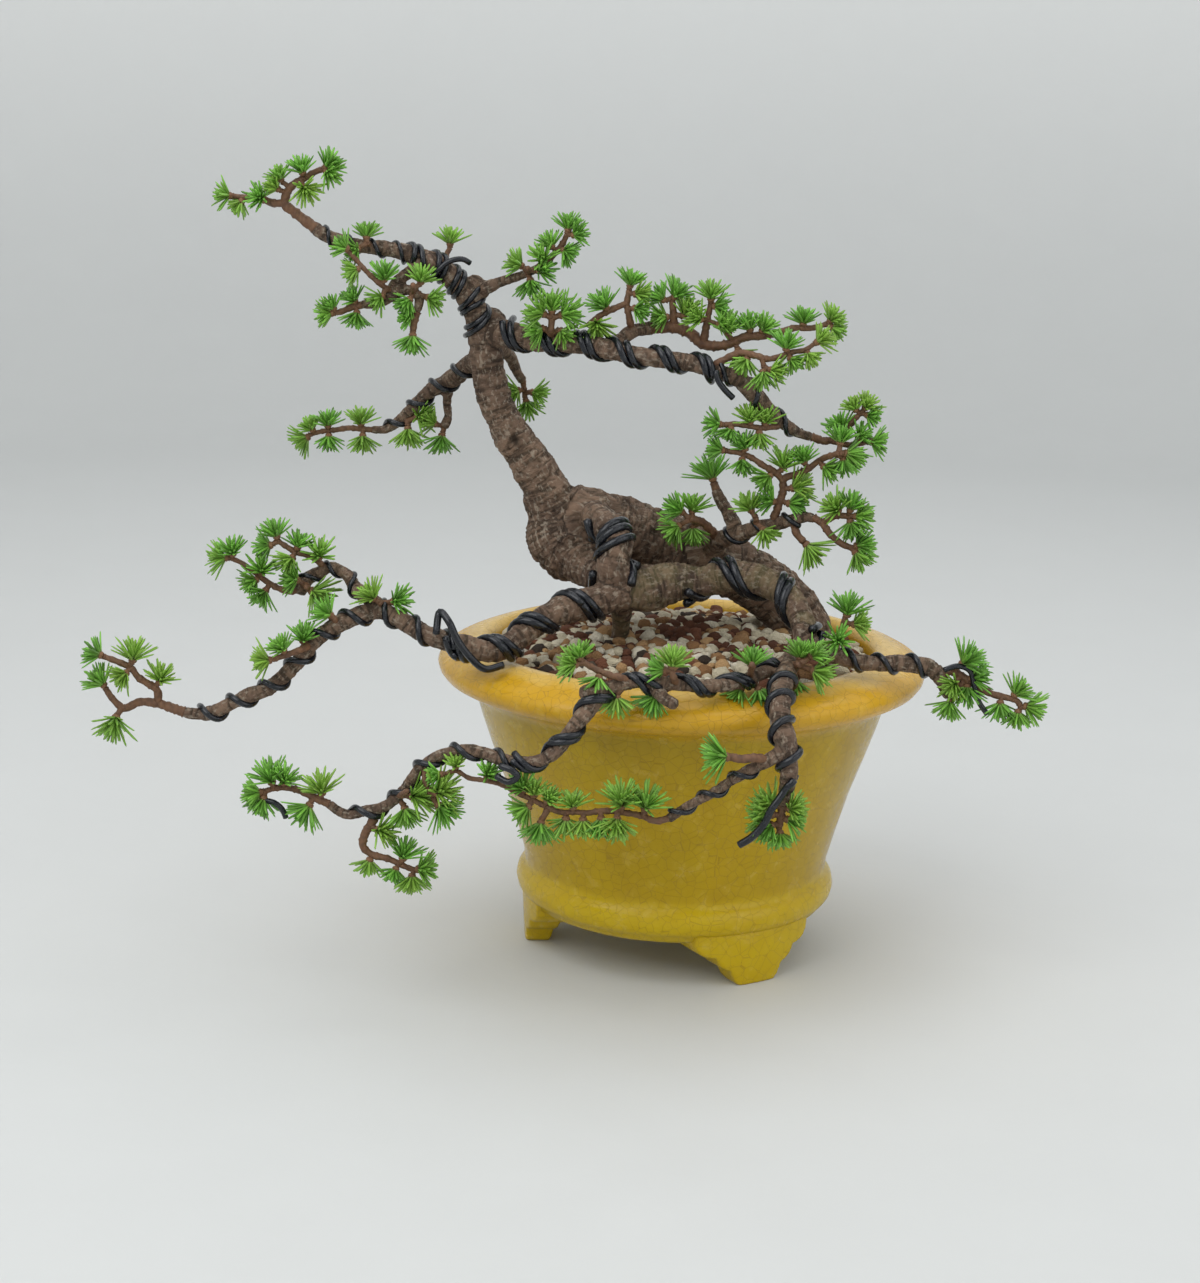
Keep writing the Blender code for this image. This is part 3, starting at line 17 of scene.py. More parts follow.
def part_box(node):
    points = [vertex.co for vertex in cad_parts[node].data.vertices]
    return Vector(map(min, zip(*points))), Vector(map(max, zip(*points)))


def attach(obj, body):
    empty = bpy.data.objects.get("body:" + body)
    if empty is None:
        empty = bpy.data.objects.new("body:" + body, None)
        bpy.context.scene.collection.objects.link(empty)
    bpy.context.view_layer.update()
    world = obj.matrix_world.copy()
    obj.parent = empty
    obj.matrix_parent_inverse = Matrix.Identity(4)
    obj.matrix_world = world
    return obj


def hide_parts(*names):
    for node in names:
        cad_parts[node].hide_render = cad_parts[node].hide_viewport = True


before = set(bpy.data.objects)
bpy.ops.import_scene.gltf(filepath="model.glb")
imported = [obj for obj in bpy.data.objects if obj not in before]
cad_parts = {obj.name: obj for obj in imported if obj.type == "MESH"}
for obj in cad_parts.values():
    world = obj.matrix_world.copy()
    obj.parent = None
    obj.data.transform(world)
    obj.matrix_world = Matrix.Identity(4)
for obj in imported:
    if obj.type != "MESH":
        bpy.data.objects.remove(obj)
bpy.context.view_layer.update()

bl_info = {
    "name": "Larch bonsai",
    "version": (1, 0, 0),
    "blender": (4, 5, 0),
    "location": "View3D > Sidebar > Bonsai",
    "description": "Dresses a larch bonsai in its glazed pot",
    "category": "Object",
}

MM = 0.001
POT_LOW, POT_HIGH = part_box("pot")
AXIS = Vector(((POT_LOW[0] + POT_HIGH[0]) / 2.0, (POT_LOW[1] + POT_HIGH[1]) / 2.0, 0.0))

# Where the front view is taken from, with its middle and focal length in pixels.
EYE = Vector((-0.037, -1.0595, 0.3869)) + AXIS
EYE_PITCH = math.radians(13.13)
EYE_ROLL = math.radians(1.4)
EYE_FOCAL = 2400.0
PICTURE_WIDTH = 1200.0
PICTURE_HEIGHT = 1283.0

# The pot, in millimetres: its feet, its outside from the underside up over the lip, and its inside down
# again. FOOT_REACH is how far out the plates stand that cut the feet from their ring.
FOOT_TOP = 25.0
FOOT_TURNS = (-58.1, 61.9, 181.9)
FOOT_TOE_RADIUS = 68.9
FOOT_RING = [(FOOT_TOE_RADIUS, 0.0), (FOOT_TOE_RADIUS + 1.5, FOOT_TOP), (54.0, FOOT_TOP), (58.0, 0.0)]
FOOT_REACH = (40.0, 95.0)
FOOT_VOXEL = 0.8
FOOT_FLANK = [
    (30, 25), (30, 19.5), (28.5, 16.8), (26, 14.9), (23, 14), (20.6, 14.3), (19.9, 12.2), (18.6, 9.8),
    (16.2, 8.1), (13.4, 7.4), (12.8, 5), (11.4, 2.2), (9.5, 0),
]
POT_OUTSIDE = [
    (12, 20.5), (66, 20.5), (68.4, 22.2), (69, 24), (70.9, 25), (72.3, 27), (73, 30.5), (72.3, 34),
    (70.9, 36), (69.2, 37.2), (69.4, 40), (69.8, 44), (73.6, 58), (79, 76.5), (85.6, 95), (90, 108),
    (91.5, 113), (93, 117.5), (95.8, 121.2), (100, 123.4), (104.4, 124.8), (107.6, 126.6), (109.4, 129),
    (110, 131.7), (109.2, 134), (107, 136), (103.6, 137.8), (99.6, 139.4), (95.4, 140.8), (91.8, 141.5),
    (89, 141.2), (87.2, 139.4), (86.2, 136.6), (86, 133),
]
POT_INSIDE = [(81, 104), (62.5, 45), (54, 33), (47, 28.5), (12, 28.5)]
POT_STEPS = 144

# The soil, in millimetres, with how many shapes of grain there are.
SOIL_INSIDE = [
    (0, 30.2), (19.4, 30.2), (19.4, 28.9), (46.5, 28.9), (53.5, 33.4), (62, 45.4), (80.4, 104),
]
SOIL_MIDDLE_HEIGHT = 143.0
SOIL_EDGE_HEIGHT = 136.0
SOIL_EDGE_RADIUS = 85.4
SOIL_TOP_RADII = (80.0, 70.0, 58.0, 44.0, 30.0, 16.0, 0.0)
SOIL_BELOW_GRAINS = 2.4
SOIL_STEPS = 72
GRAIN_SHAPES = 24
# How often each kind of grain falls: pumice, lava, baked clay and damp grains.
GRAIN_SHARES = (0.44, 0.28, 0.20, 0.08)

# The round backdrop, in millimetres.
FLOOR_RADIUS = 1500.0
SWEEP_RADIUS = 600.0
BACKDROP_HEIGHT = 2600.0
SWEEP_STEPS = 12
BACKDROP_GLOW = 0.42

# Lights: place from the pot's axis and width, in metres, and the share of the main light's power. They
# face AIM, which is measured from the pot's axis too.
LIGHTS = {
    "main_light": ((-0.75, -0.85, 1.35), 1.3, 1.0),
    "fill_light": ((1.1, -0.9, 0.8), 1.5, 0.42),
    "top_light": ((0.15, 0.25, 1.5), 1.4, 0.62),
}
AIM = Vector((0.0, 0.0, 0.18))
PALE_SKY = (0.86, 0.89, 0.92, 1.0)
SKY_STRENGTH = 0.45
BLACK = (0.0, 0.0, 0.0)

# Wood: sizes in millimetres, and the points of the front view where the cut scar and the knot hole show.
LIMB_SIDES = 14
LIMB_SPACING = 1.0
BARK_VOXEL = 0.95
FLARE = 0.22
FLARE_REACH = 9.0
GRAIN_SHIFT = 61.0
SCAR = (583, 505)
SCAR_RADIUS = 7.2
KNOT_HOLE = (515, 440)
KNOT_HOLE_RADIUS = 3.4

# Wires: how finely they are drawn, the gap from strand to strand in radii, the rounds that settle them,
# and the spacing along a free end in millimetres.
WIRE_POINTS_A_TURN = 18
WIRE_SIDES = 12
STRAND_SPACING = 2.12
HUG_ROUNDS = 12
FREE_END_ROUNDS = 4
FREE_END_SPACING = 1.4

# Twigs, buds and needles: sizes in millimetres, outlines as (along, width) shares, rises in degrees.
TWIG_SIDES = 8
TWIG_SPACING = 0.9
BUD_SIDES = 9
BUD_RADIUS = 1.5
BUD_PROFILE = [
    (-1.3, 0.55), (-0.9, 1.0), (-0.5, 0.92), (-0.2, 1.18), (0.2, 1.02), (0.5, 1.12), (0.9, 0.84), (1.2, 0.42),
]
BUD_TRIES = 40
NEEDLE_PROFILE = [(0.0, 0.7), (0.22, 1.0), (0.6, 1.05), (0.92, 0.8)]
NEEDLE_CORNERS = (0.0, 2.094, 4.189)
NEEDLE_BEND = 0.20
NEEDLE_FACES = [
    [low + corner, low + (corner + 1) % 3, low + 3 + (corner + 1) % 3, low + 3 + corner]
    for low in (0, 3, 6) for corner in range(3)
]
NEEDLE_FACES += [[9 + corner, 9 + (corner + 1) % 3, 12] for corner in range(3)] + [[2, 1, 0]]
LOWEST_RISE = 29.0
HIGHEST_RISE = 87.0
SHORTEST_NEEDLE = 0.45

GOLDEN_TURN = math.radians(137.508)

# Limbs of the tree: across, down, depth, radius. Each route starts inside the limb that it grows from.
LIMBS = {
    "trunk": [
        (804, 670, 26, 13.5), (804, 648, 27, 14), (799, 625, 28, 14), (775, 595, 27, 13.8),
        (740, 572, 25, 13.8), (700, 555, 23, 13.8), (660, 540, 20, 13.8), (620, 528, 16, 14.6),
        (585, 520, 12, 15.2), (562, 514, 10, 15), (550, 500, 9, 12.2), (545, 488, 8, 10.6),
        (535, 470, 8, 9.8), (526, 455, 8, 9.3), (513, 437, 8, 8.7), (503, 418, 8, 8), (495, 400, 8, 7.8),
        (489, 375, 8, 7.6), (486, 350, 8, 7.6), (488, 330, 9, 7.2), (497, 312, 11, 5),
    ],
    "knot": [
        (575, 520, 12, 12), (557, 533, 7, 13.5), (568, 550, 4, 13.5), (584, 563, -4, 10.5),
        (598, 574, -14, 8.5), (610, 584, -24, 7),
    ],
    "front_limb": [
        (590, 516, 8, 7), (597, 518, -5, 6.8), (612, 532, -20, 7.1), (617, 547, -28, 7.2),
        (613, 566, -31, 7.4), (622, 589, -29, 8),
    ],
    "low_arch": [
        (622, 589, -29, 7.6), (650, 588, -25, 10), (676, 582, -22, 8.8), (700, 582, -22, 6.7),
        (725, 577, -24, 7.8), (750, 578, -28, 7.3), (775, 587, -34, 6.4), (792, 602, -42, 5.8),
        (802, 620, -50, 5.7), (805, 638, -56, 5.4), (797, 658, -64, 4.6),
    ],
    "stilt_root": [
        (622, 596, -26, 5), (621, 625, -12, 4), (619, 645, -4, 4), (617, 662, 2, 4), (617, 678, 6, 4.2),
    ],
    "stilt_prong": [(620, 634, -8, 3), (635, 650, -2, 3), (648, 662, 0, 2.6), (655, 676, 2, 2.4)],
    "left_front": [
        (622, 589, -29, 7.4), (600, 600, -34, 7), (575, 607, -38, 6.6), (557, 612, -42, 6.1),
        (540, 621, -45, 5.6), (522, 635, -50, 5.2), (504, 648, -55, 5.1), (486, 651, -60, 5),
        (465, 646, -62, 4.7), (445, 641, -62, 4.3), (420, 631, -60, 4.1), (397, 618, -58, 3.9),
        (380, 610, -55, 4), (360, 615, -57, 4), (345, 621, -58, 4.1), (330, 629, -60, 3.8),
        (314, 641, -62, 3.6), (301, 658, -64, 3.6), (287, 673, -65, 3.4), (269, 688, -66, 3.4),
        (248, 696, -66, 3.4), (228, 705, -65, 3), (212, 713, -64, 3.3), (196, 714, -63, 2.6),
        (184, 712, -62, 2.4),
    ],
    "left_upper": [
        (382, 610, -54, 3.4), (369, 598, -50, 3.2), (355, 588, -46, 3.1), (350, 578, -44, 2.9),
        (340, 570, -42, 2.6), (330, 567, -40, 2.6), (320, 572, -40, 2.9), (306, 580, -42, 3.2),
        (299, 593, -44, 3.1),
    ],
    "right_low": [
        (802, 634, -56, 4), (820, 650, -62, 3.8), (845, 659, -62, 3.4), (861, 662, -62, 3.4),
        (879, 664, -62, 3.4), (897, 663, -62, 3.6), (915, 665, -62, 3.7), (929, 667, -62, 3.8),
        (939, 676, -62, 3.4), (945, 688, -62, 2.7), (948, 697, -62, 2.1),
    ],
    "front_fall": [
        (799, 650, -62, 4.4), (788, 668, -81, 4.2), (783, 684, -97, 4.5), (780, 703, -112, 4.5),
        (781, 725, -121, 4.7), (786, 742, -126, 4.5), (789, 763, -128, 4), (788, 781, -128, 3.4),
        (784, 797, -126, 2.6), (783, 804, -125, 2.3),
    ],
    "front_twig": [
        (786, 750, -127, 3), (767, 761, -128, 2.6), (744, 773, -128, 2.4), (728, 783, -127, 2.2),
        (711, 794, -126, 2.1), (693, 803, -125, 2), (680, 811, -124, 2), (668, 819, -123, 2.1),
    ],
    "front_rim": [
        (799, 648, -60, 4.2), (788, 662, -72, 3.6), (770, 669, -84, 3.2), (750, 678, -94, 2.9),
        (733, 684, -100, 2.9), (714, 686, -104, 2.9), (695, 686, -106, 2.8), (675, 684, -108, 2.7),
        (655, 682, -110, 2.6), (633, 683, -111, 2.6), (614, 686, -112, 3), (600, 694, -114, 3.6),
        (588, 710, -118, 3.6), (576, 724, -121, 3.4), (564, 741, -123, 3.2), (552, 754, -124, 3),
        (535, 762, -124, 2.8), (517, 762, -122, 2.7), (500, 759, -120, 2.8), (484, 753, -117, 2.7),
        (468, 750, -115, 2.6), (449, 753, -112, 2.6), (433, 759, -110, 2.6), (420, 769, -108, 2.6),
        (412, 779, -107, 2.5), (404, 790, -106, 2.5), (393, 801, -105, 2.5), (379, 809, -104, 2.5),
        (364, 811, -103, 2.4), (352, 815, -102, 2.2), (340, 812, -100, 2.1), (329, 804, -99, 2),
    ],
    "rim_knob": [(603, 690, -114, 3), (592, 692, -115, 3.4), (581, 695, -116, 2.8)],
    "rim_stub": [(652, 685, -110, 2.4), (665, 699, -114, 2.5), (676, 705, -117, 2.5)],
    "mid_right": [
        (712, 556, 20, 7), (716, 543, 8, 4.4), (729, 537, 0, 4), (742, 533, -6, 3.6), (757, 528, -10, 3.3),
        (775, 524, -14, 3.1), (792, 520, -18, 2.9), (805, 517, -20, 2.6), (814, 518, -21, 2.2),
    ],
    "mid_right_stub": [(735, 528, -3, 3.2), (729, 514, -2, 3), (722, 503, 0, 2.8), (716, 490, 2, 2.6)],
    "high_right": [
        (490, 332, 8, 6), (515, 335, 0, 5.3), (532, 340, -4, 4.9), (555, 342, -8, 4.7),
        (579, 344, -11, 4.4), (596, 346, -13, 4.4), (613, 351, -15, 4.2), (640, 356, -17, 4),
        (662, 359, -18, 4), (681, 361, -18, 4), (701, 366, -18, 3.8), (722, 373, -18, 3.6),
        (740, 380, -17, 3.8), (753, 393, -16, 4), (763, 405, -15, 3.8), (774, 416, -14, 3.4),
        (786, 425, -13, 3), (799, 433, -12, 2.3), (812, 437, -11, 2),
    ],
    "high_right_upper": [(611, 350, -13, 3.4), (622, 339, -7, 3), (633, 331, -4, 3), (651, 328, -2, 3)],
    "apex": [
        (485, 338, 8, 6.6), (476, 313, 6, 5.4), (469, 298, 5, 5.4), (458, 284, 3, 5.4), (447, 273, 2, 5),
        (434, 263, 0, 4.5), (417, 256, -1, 3.9), (400, 251, -2, 3.6), (380, 248, -3, 3.4),
        (361, 246, -4, 3.2), (340, 241, -5, 3.2), (325, 235, -5, 3.1), (315, 228, -5, 2.9),
    ],
    "apex_knob": [(465, 296, 4, 3.6), (474, 285, 4, 3.8), (478, 277, 4, 2.9)],
    "apex_hanging": [
        (429, 262, -2, 3), (410, 272, -5, 2.6), (397, 282, -7, 2.6), (393, 292, -9, 3), (409, 290, -9, 2.3),
        (419, 297, -10, 2.4), (417, 312, -10, 1.8),
    ],
    "apex_inner": [(395, 295, -9, 2.2), (380, 302, -10, 2.2), (362, 305, -10, 2)],
    "top_right": [
        (474, 303, 6, 3), (484, 290, 4, 2.7), (493, 285, 3, 2.6), (503, 281, 2, 2.4), (514, 278, 0, 2.2),
        (525, 274, -1, 2), (538, 268, -2, 2), (549, 260, -2, 1.7),
    ],
    "left_back": [
        (487, 358, 12, 5), (468, 366, 28, 4.5), (456, 376, 32, 4.3), (443, 384, 36, 3.7),
        (430, 391, 38, 3.4), (419, 402, 40, 3.2), (408, 413, 42, 3.1), (398, 422, 43, 2.6),
        (386, 429, 44, 2.1), (372, 430, 44, 1.9),
    ],
    "left_back_hook": [(449, 383, 35, 2.4), (447, 403, 38, 2), (448, 417, 38, 2), (444, 427, 38, 2.3)],
    "small_back": [(495, 344, 12, 3.4), (511, 358, 26, 2.7), (517, 372, 28, 2.4), (523, 381, 30, 2.1)],
}

# Wires: limb, first and last share of its length, turns, first turn's angle, radius in mm, and the strands
# that lie side by side.
COILS = {
    "wire_left_front": [
        ("left_front", 0.02, 0.38, 3.6, 200, 1.8, 2), ("left_front", 0.38, 0.97, 8.4, 20, 1.35, 1),
    ],
    "wire_left_front_second": [("left_front", 0.1, 0.4, 3.0, 60, 1.7, 1)],
    "wire_left_upper": [("left_upper", 0.08, 0.95, 3.6, 20, 1.0, 1)],
    "wire_knot": [("front_limb", 0.34, 0.92, 1.4, 60, 1.95, 3)],
    "wire_low_arch": [("low_arch", 0.26, 0.9, 2.6, 200, 1.9, 2)],
    "wire_right_low": [("right_low", 0.12, 0.84, 3.8, 60, 1.3, 1)],
    "wire_front_rim": [
        ("front_rim", 0.08, 0.62, 6.4, 90, 1.45, 2), ("front_rim", 0.62, 0.97, 4.8, 90, 1.3, 1),
    ],
    "wire_front_fall": [("front_fall", 0.3, 0.88, 4.2, 30, 1.6, 1)],
    "wire_front_twig": [("front_twig", 0.18, 0.93, 2.8, 200, 1.1, 1)],
    "wire_mid_right": [("mid_right", 0.28, 0.9, 2.8, 120, 1.15, 1)],
    "wire_high_right": [
        ("high_right", 0.06, 0.66, 5.4, 90, 1.55, 2), ("high_right", 0.66, 0.97, 2.8, 60, 1.1, 1),
    ],
    "wire_apex": [("apex", 0.03, 0.56, 5.0, 120, 1.3, 2), ("apex", 0.56, 0.96, 3.6, 150, 0.9, 1)],
    "wire_left_back": [("left_back", 0.2, 0.94, 4.0, 40, 1.3, 1)],
}

# Free ends of wires: the radius and the places (across, down, depth), starting beside the limb.
FREE_ENDS = {
    "wire_left_front_second": [
        (1.6, [
            (436, 634, -70), (440, 612, -67), (449, 622, -71), (457, 639, -72), (470, 657, -72),
            (485, 669, -70), (503, 665, -66),
        ]),
    ],
    "wire_front_rim": [
        (1.4, [(500, 766, -127), (511, 770, -129), (518, 776, -129), (509, 782, -128), (496, 776, -126)]),
        (1.2, [(264, 800, -100), (275, 803, -101), (282, 809, -101), (286, 818, -101)]),
    ],
    "wire_front_fall": [
        (1.6, [
            (792, 778, -131), (781, 796, -133), (771, 810, -134), (764, 824, -134), (752, 837, -134),
            (739, 845, -133),
        ]),
    ],
    "wire_high_right": [(1.4, [(716, 371, -24), (718, 380, -25), (725, 390, -25), (733, 398, -24)])],
    "wire_right_low": [
        (1.2, [
            (944, 670, -68), (958, 666, -67), (970, 671, -66), (974, 685, -66), (979, 702, -65),
            (987, 714, -65),
        ]),
    ],
    "wire_apex": [(1.25, [(470, 263, -2), (462, 259, -4), (448, 262, -5), (436, 273, -5), (430, 281, -4)])],
}

# Sprays: the twigs' radius at their start and end in mm, their routes outwards (across, down, depth
# against the limb), then the tufts: (across, down) of the bud, the way it points on the picture and its
# lean towards the viewer in degrees, and its size. SMALL_SPRAYS are further twigs of the sprays whose
# names they bear.
SPRAYS = {
    "spray_apex_tip": ((2.6, 1.2), [
        [(313, 227, 0), (303, 219, 0), (293, 211, 0), (285, 204, 0), (287, 193, 0), (294, 184, -1),
         (305, 178, -1), (315, 172, -1), (323, 169, -2)],
        [(285, 203, 0), (273, 203, 0), (262, 199, 1), (250, 198, 2), (240, 197, 3), (234, 196, 3)],
    ], [
        (231, 195, 176, 5, 1.1), (242, 201, 220, 10, 0.9), (263, 198, 150, 50, 1), (278, 189, 140, 5, 0.9),
        (281, 180, 96, 5, 0.9), (303, 173, 105, 25, 1.1), (326, 167, 55, 5, 1.1), (324, 172, -30, 15, 1),
        (304, 187, -30, 45, 1.2),
    ]),
    "spray_top_bend": ((1.4, 1.2), [[(447, 273, 0), (446, 256, 8), (450, 248, 9)]], [
        (450, 246, 90, 0, 1.1),
    ]),
    "spray_top_orange": ((1.4, 1.1), [
        [(393, 293, 0), (383, 286, -4), (369, 274, -5), (358, 262, -5), (349, 252, -5)],
    ], [
        (347, 249, 160, 5, 1), (358, 269, 195, 10, 1), (384, 280, 100, 15, 1.2), (386, 296, 205, 35, 1),
    ]),
    "spray_top_inner": ((1.8, 1.2), [[(367, 304, 0), (352, 307, 0), (343, 311, 0), (336, 313, 0)]], [
        (334, 309, 125, 5, 0.9), (333, 314, 183, 5, 1.1), (355, 301, 130, 15, 0.9), (357, 312, -105, 10, 1),
    ]),
    "spray_top_hanging": ((1.8, 1.5), [[(417, 312, 0), (414, 323, 0), (413, 331, 0)]], [
        (413, 334, -92, 15, 1.3), (411, 317, 190, 20, 0.8),
    ]),
    "spray_top_front": ((1.3, 1.1), [[(413, 293, 0), (413, 285, -14)]], [
        (421, 282, 90, 25, 1.1), (413, 297, 215, 35, 1.1), (426, 297, -10, 25, 1.1),
    ]),
    "spray_top_right": ((1.6, 1.2), [[(549, 260, 0), (556, 252, -1), (563, 243, -1), (567, 234, -2)]], [
        (568, 230, 92, 0, 1.1), (573, 235, 25, 5, 1), (552, 247, 112, 10, 1), (563, 250, -20, 15, 1),
        (545, 263, 95, 35, 1.1),
    ]),
    "spray_top_right_inner": ((1.5, 1.3), [[(527, 272, 0), (528, 268, -8)]], [
        (522, 266, 160, 20, 1.1), (530, 276, -92, 25, 1.2), (537, 270, 30, 45, 1.1),
    ]),
    "spray_high_first": ((1.8, 1.4), [[(550, 342, 0), (551, 329, -7), (552, 318, -7)]], [
        (544, 314, 150, 15, 1.3), (552, 311, 90, 15, 1.3), (561, 315, 15, 15, 1.4),
        (543, 328, 215, 40, 1.2), (560, 330, -60, 40, 1.2),
    ]),
    "spray_high_orange": ((1.7, 1.3), [
        [(632, 332, 0), (629, 316, -3), (627, 305, -3), (629, 290, -3)],
        [(627, 303, -3), (611, 310, -4), (598, 317, -4), (587, 326, -4)],
    ], [
        (606, 308, 125, 10, 1.2), (630, 286, 82, 0, 1.1), (635, 294, 10, 10, 1.1), (634, 308, -20, 15, 1),
        (596, 322, -80, 40, 1.3),
    ]),
    "spray_high_upper": ((2.9, 1.2), [
        [(653, 328, 0), (673, 327, 0), (690, 333, 0), (701, 343, -2), (714, 346, -4), (729, 344, -5),
         (745, 337, -6), (758, 336, -6), (769, 335, -6), (781, 332, -6), (794, 328, -6), (812, 328, -6),
         (827, 324, -6)],
        [(674, 327, 0), (673, 308, -2), (672, 299, -2)],
        [(704, 343, -2), (707, 322, -4), (711, 303, -4)],
    ], [
        (664, 300, 125, 5, 1.1), (675, 300, 60, 15, 1.2), (667, 317, 180, 15, 1.1), (684, 315, 85, 20, 1.3),
        (711, 299, 92, 10, 1.2), (714, 306, 5, 15, 1), (701, 319, 150, 30, 1.1), (728, 333, 85, 20, 1.4),
        (719, 324, 20, 35, 1), (750, 330, 105, 10, 1.2), (762, 331, 45, 15, 1.1), (738, 350, -75, 35, 1.2),
        (803, 324, 92, 10, 1.1), (830, 321, 60, 5, 1), (831, 327, -12, 5, 1),
    ]),
    "spray_high_lower": ((1.7, 1.1), [
        [(716, 347, 0), (740, 353, -4), (757, 356, -8), (769, 359, -8), (781, 356, -8), (793, 352, -8),
         (805, 350, -8), (814, 344, -8)],
        [(762, 357, -8), (764, 367, -9)],
    ], [
        (817, 342, 35, 5, 1.1), (807, 353, -50, 15, 0.9), (786, 349, 75, 20, 1.2), (790, 358, -35, 15, 1),
        (770, 370, 3, 5, 1.1), (763, 371, -75, 15, 1.2), (747, 358, -120, 30, 1.1),
    ]),
    "spray_far_left": ((1.4, 1.2), [
        [(784, 426, 0), (762, 428, -5), (749, 426, -6), (735, 424, -6), (724, 425, -6)],
    ], [
        (721, 425, 172, 5, 1.1), (731, 428, -118, 15, 0.9), (750, 422, 112, 15, 1.1),
        (765, 423, 92, 20, 1.3), (759, 432, -88, 20, 1.1),
    ]),
    "spray_far_tip": ((1.9, 1.2), [
        [(812, 437, 0), (825, 441, 0), (836, 438, 0), (845, 432, 0), (854, 420, 0), (861, 413, 0)],
        [(830, 442, 0), (850, 445, -1), (867, 442, -1)],
    ], [
        (856, 410, 110, 5, 0.9), (865, 408, 70, 5, 1), (867, 415, -8, 10, 0.9), (842, 429, 120, 20, 1.1),
        (871, 442, 0, 10, 1.1), (858, 437, 30, 20, 0.9), (853, 451, -70, 15, 1.1),
    ]),
    "spray_riser": ((2, 1.3), [
        [(772, 522, 0), (778, 507, -2), (783, 491, -2), (784, 479, -2), (797, 474, -3), (808, 469, -3),
         (820, 460, -4), (833, 455, -9), (839, 453, -11)],
        [(783, 481, -2), (775, 472, -3), (764, 466, -5), (752, 458, -5), (740, 453, -5), (727, 451, -5)],
    ], [
        (723, 450, 168, 5, 1.1), (745, 449, 112, 15, 1.1), (742, 459, -80, 20, 1),
        (770, 475, -150, 25, 1.1), (783, 468, 98, 20, 1.3), (804, 462, 105, 15, 1.1),
        (823, 466, -20, 20, 1.2), (845, 453, -10, 20, 1.3), (843, 458, -85, 20, 1.1),
        (792, 488, 30, 15, 1.5), (788, 503, 0, 20, 1.3), (773, 501, 170, 30, 1.1), (840, 443, 85, 20, 1.2),
    ]),
    "spray_mid_fan": ((2.2, 1.8), [[(716, 492, 0), (714, 483, 0)]], [(713, 480, 108, 5, 1.7)]),
    "spray_mid_left": ((2.2, 1.7), [[(716, 532, 0), (702, 522, -8), (690, 519, -12)]], [
        (692, 511, 75, 20, 1.2), (682, 512, 150, 20, 1.3), (679, 525, 215, 25, 1.3),
        (693, 527, -70, 25, 1.2),
    ]),
    "spray_mid_far": ((1.9, 1.4), [
        [(815, 518, 0), (822, 523, -2), (830, 534, -4), (842, 544, -6), (852, 548, -6)],
        [(822, 523, -2), (836, 516, -5), (848, 516, -6)],
    ], [
        (838, 510, 150, 30, 1.2), (850, 510, 72, 10, 1.2), (850, 521, -80, 20, 1.2), (855, 516, 5, 15, 1.2),
        (856, 546, 18, 5, 1.3), (855, 552, -50, 10, 1.3),
    ]),
    "spray_mid_low": ((1.9, 1.6), [[(793, 523, 0), (797, 534, -1), (803, 541, -1)]], [
        (806, 544, -45, 10, 1.6),
    ]),
    "spray_cross_left": ((1.6, 1.3), [[(633, 683, 0), (615, 677, -2), (597, 670, -2), (583, 662, -2)]], [
        (580, 658, 95, 10, 1), (576, 664, 170, 15, 1.1), (599, 676, -110, 30, 1.1),
        (616, 692, -80, 20, 1.2),
    ]),
    "spray_cross_mid": ((1.6, 1.3), [[(676, 684, 0), (673, 676, -6), (671, 670, -6)]], [
        (672, 666, 85, 15, 1.2), (665, 670, 165, 15, 1.1), (658, 688, -110, 20, 1.3),
    ]),
    "spray_cross_right": ((1.4, 1.2), [[(750, 678, 0), (752, 664, -11)]], [
        (752, 666, 88, 10, 1.2), (742, 686, -125, 25, 1.2), (758, 688, -80, 25, 1.1),
    ]),
    "spray_fall_top": ((1.9, 1.6), [[(790, 668, 0), (800, 664, -8)]], [
        (800, 658, 92, 15, 1.2), (811, 656, 40, 20, 1.1), (812, 670, -15, 15, 1.4),
        (795, 678, -105, 30, 1.3),
    ]),
    "spray_right_up": ((1.9, 1.4), [[(833, 655, 0), (838, 640, -1), (843, 627, -1), (845, 619, -1)]], [
        (847, 615, 88, 5, 1.4), (853, 624, 20, 15, 1.1), (838, 640, 110, 60, 1.1),
    ]),
    "spray_right_end": ((2.2, 1.2), [
        [(940, 676, 0), (950, 671, -1), (963, 677, -1), (979, 687, -1), (992, 694, -1), (1004, 697, -1),
         (1017, 701, -1), (1021, 707, -1)],
        [(950, 671, -1), (957, 667, -3)],
    ], [
        (962, 664, 50, 5, 1.5), (955, 682, -160, 50, 1.1), (971, 678, 15, 15, 1.2),
        (950, 696, -100, 15, 1.2), (1014, 695, 40, 5, 1.2), (1025, 706, -25, 5, 1.3),
        (1018, 711, -85, 10, 1.1), (1000, 702, -88, 10, 1.2), (967, 686, -85, 15, 1.3),
    ]),
    "spray_left_tip": ((2.4, 1.4), [
        [(182, 711, 0), (172, 708, 0), (160, 704, 2), (140, 702, 2), (124, 708, 2), (112, 698, 2),
         (106, 689, 2)],
        [(158, 704, 2), (157, 690, 1), (147, 683, 0), (138, 677, 0), (131, 668, -1), (116, 661, -1),
         (105, 657, -1)],
    ], [
        (104, 685, 138, 5, 1.3), (117, 716, -95, 55, 1.5), (101, 655, 160, 5, 1.2), (133, 660, 88, 15, 1.4),
        (127, 672, -150, 30, 1.1), (160, 681, 85, 10, 1.2),
    ]),
    "spray_left_mid": ((1.6, 1.3), [[(311, 645, 0), (300, 650, -9), (286, 655, -10), (274, 659, -10)]], [
        (270, 660, 178, 5, 1.2), (284, 650, 125, 20, 1), (304, 644, 70, 30, 1.1),
    ]),
    "spray_left_upper_tip": ((1.7, 1.1), [
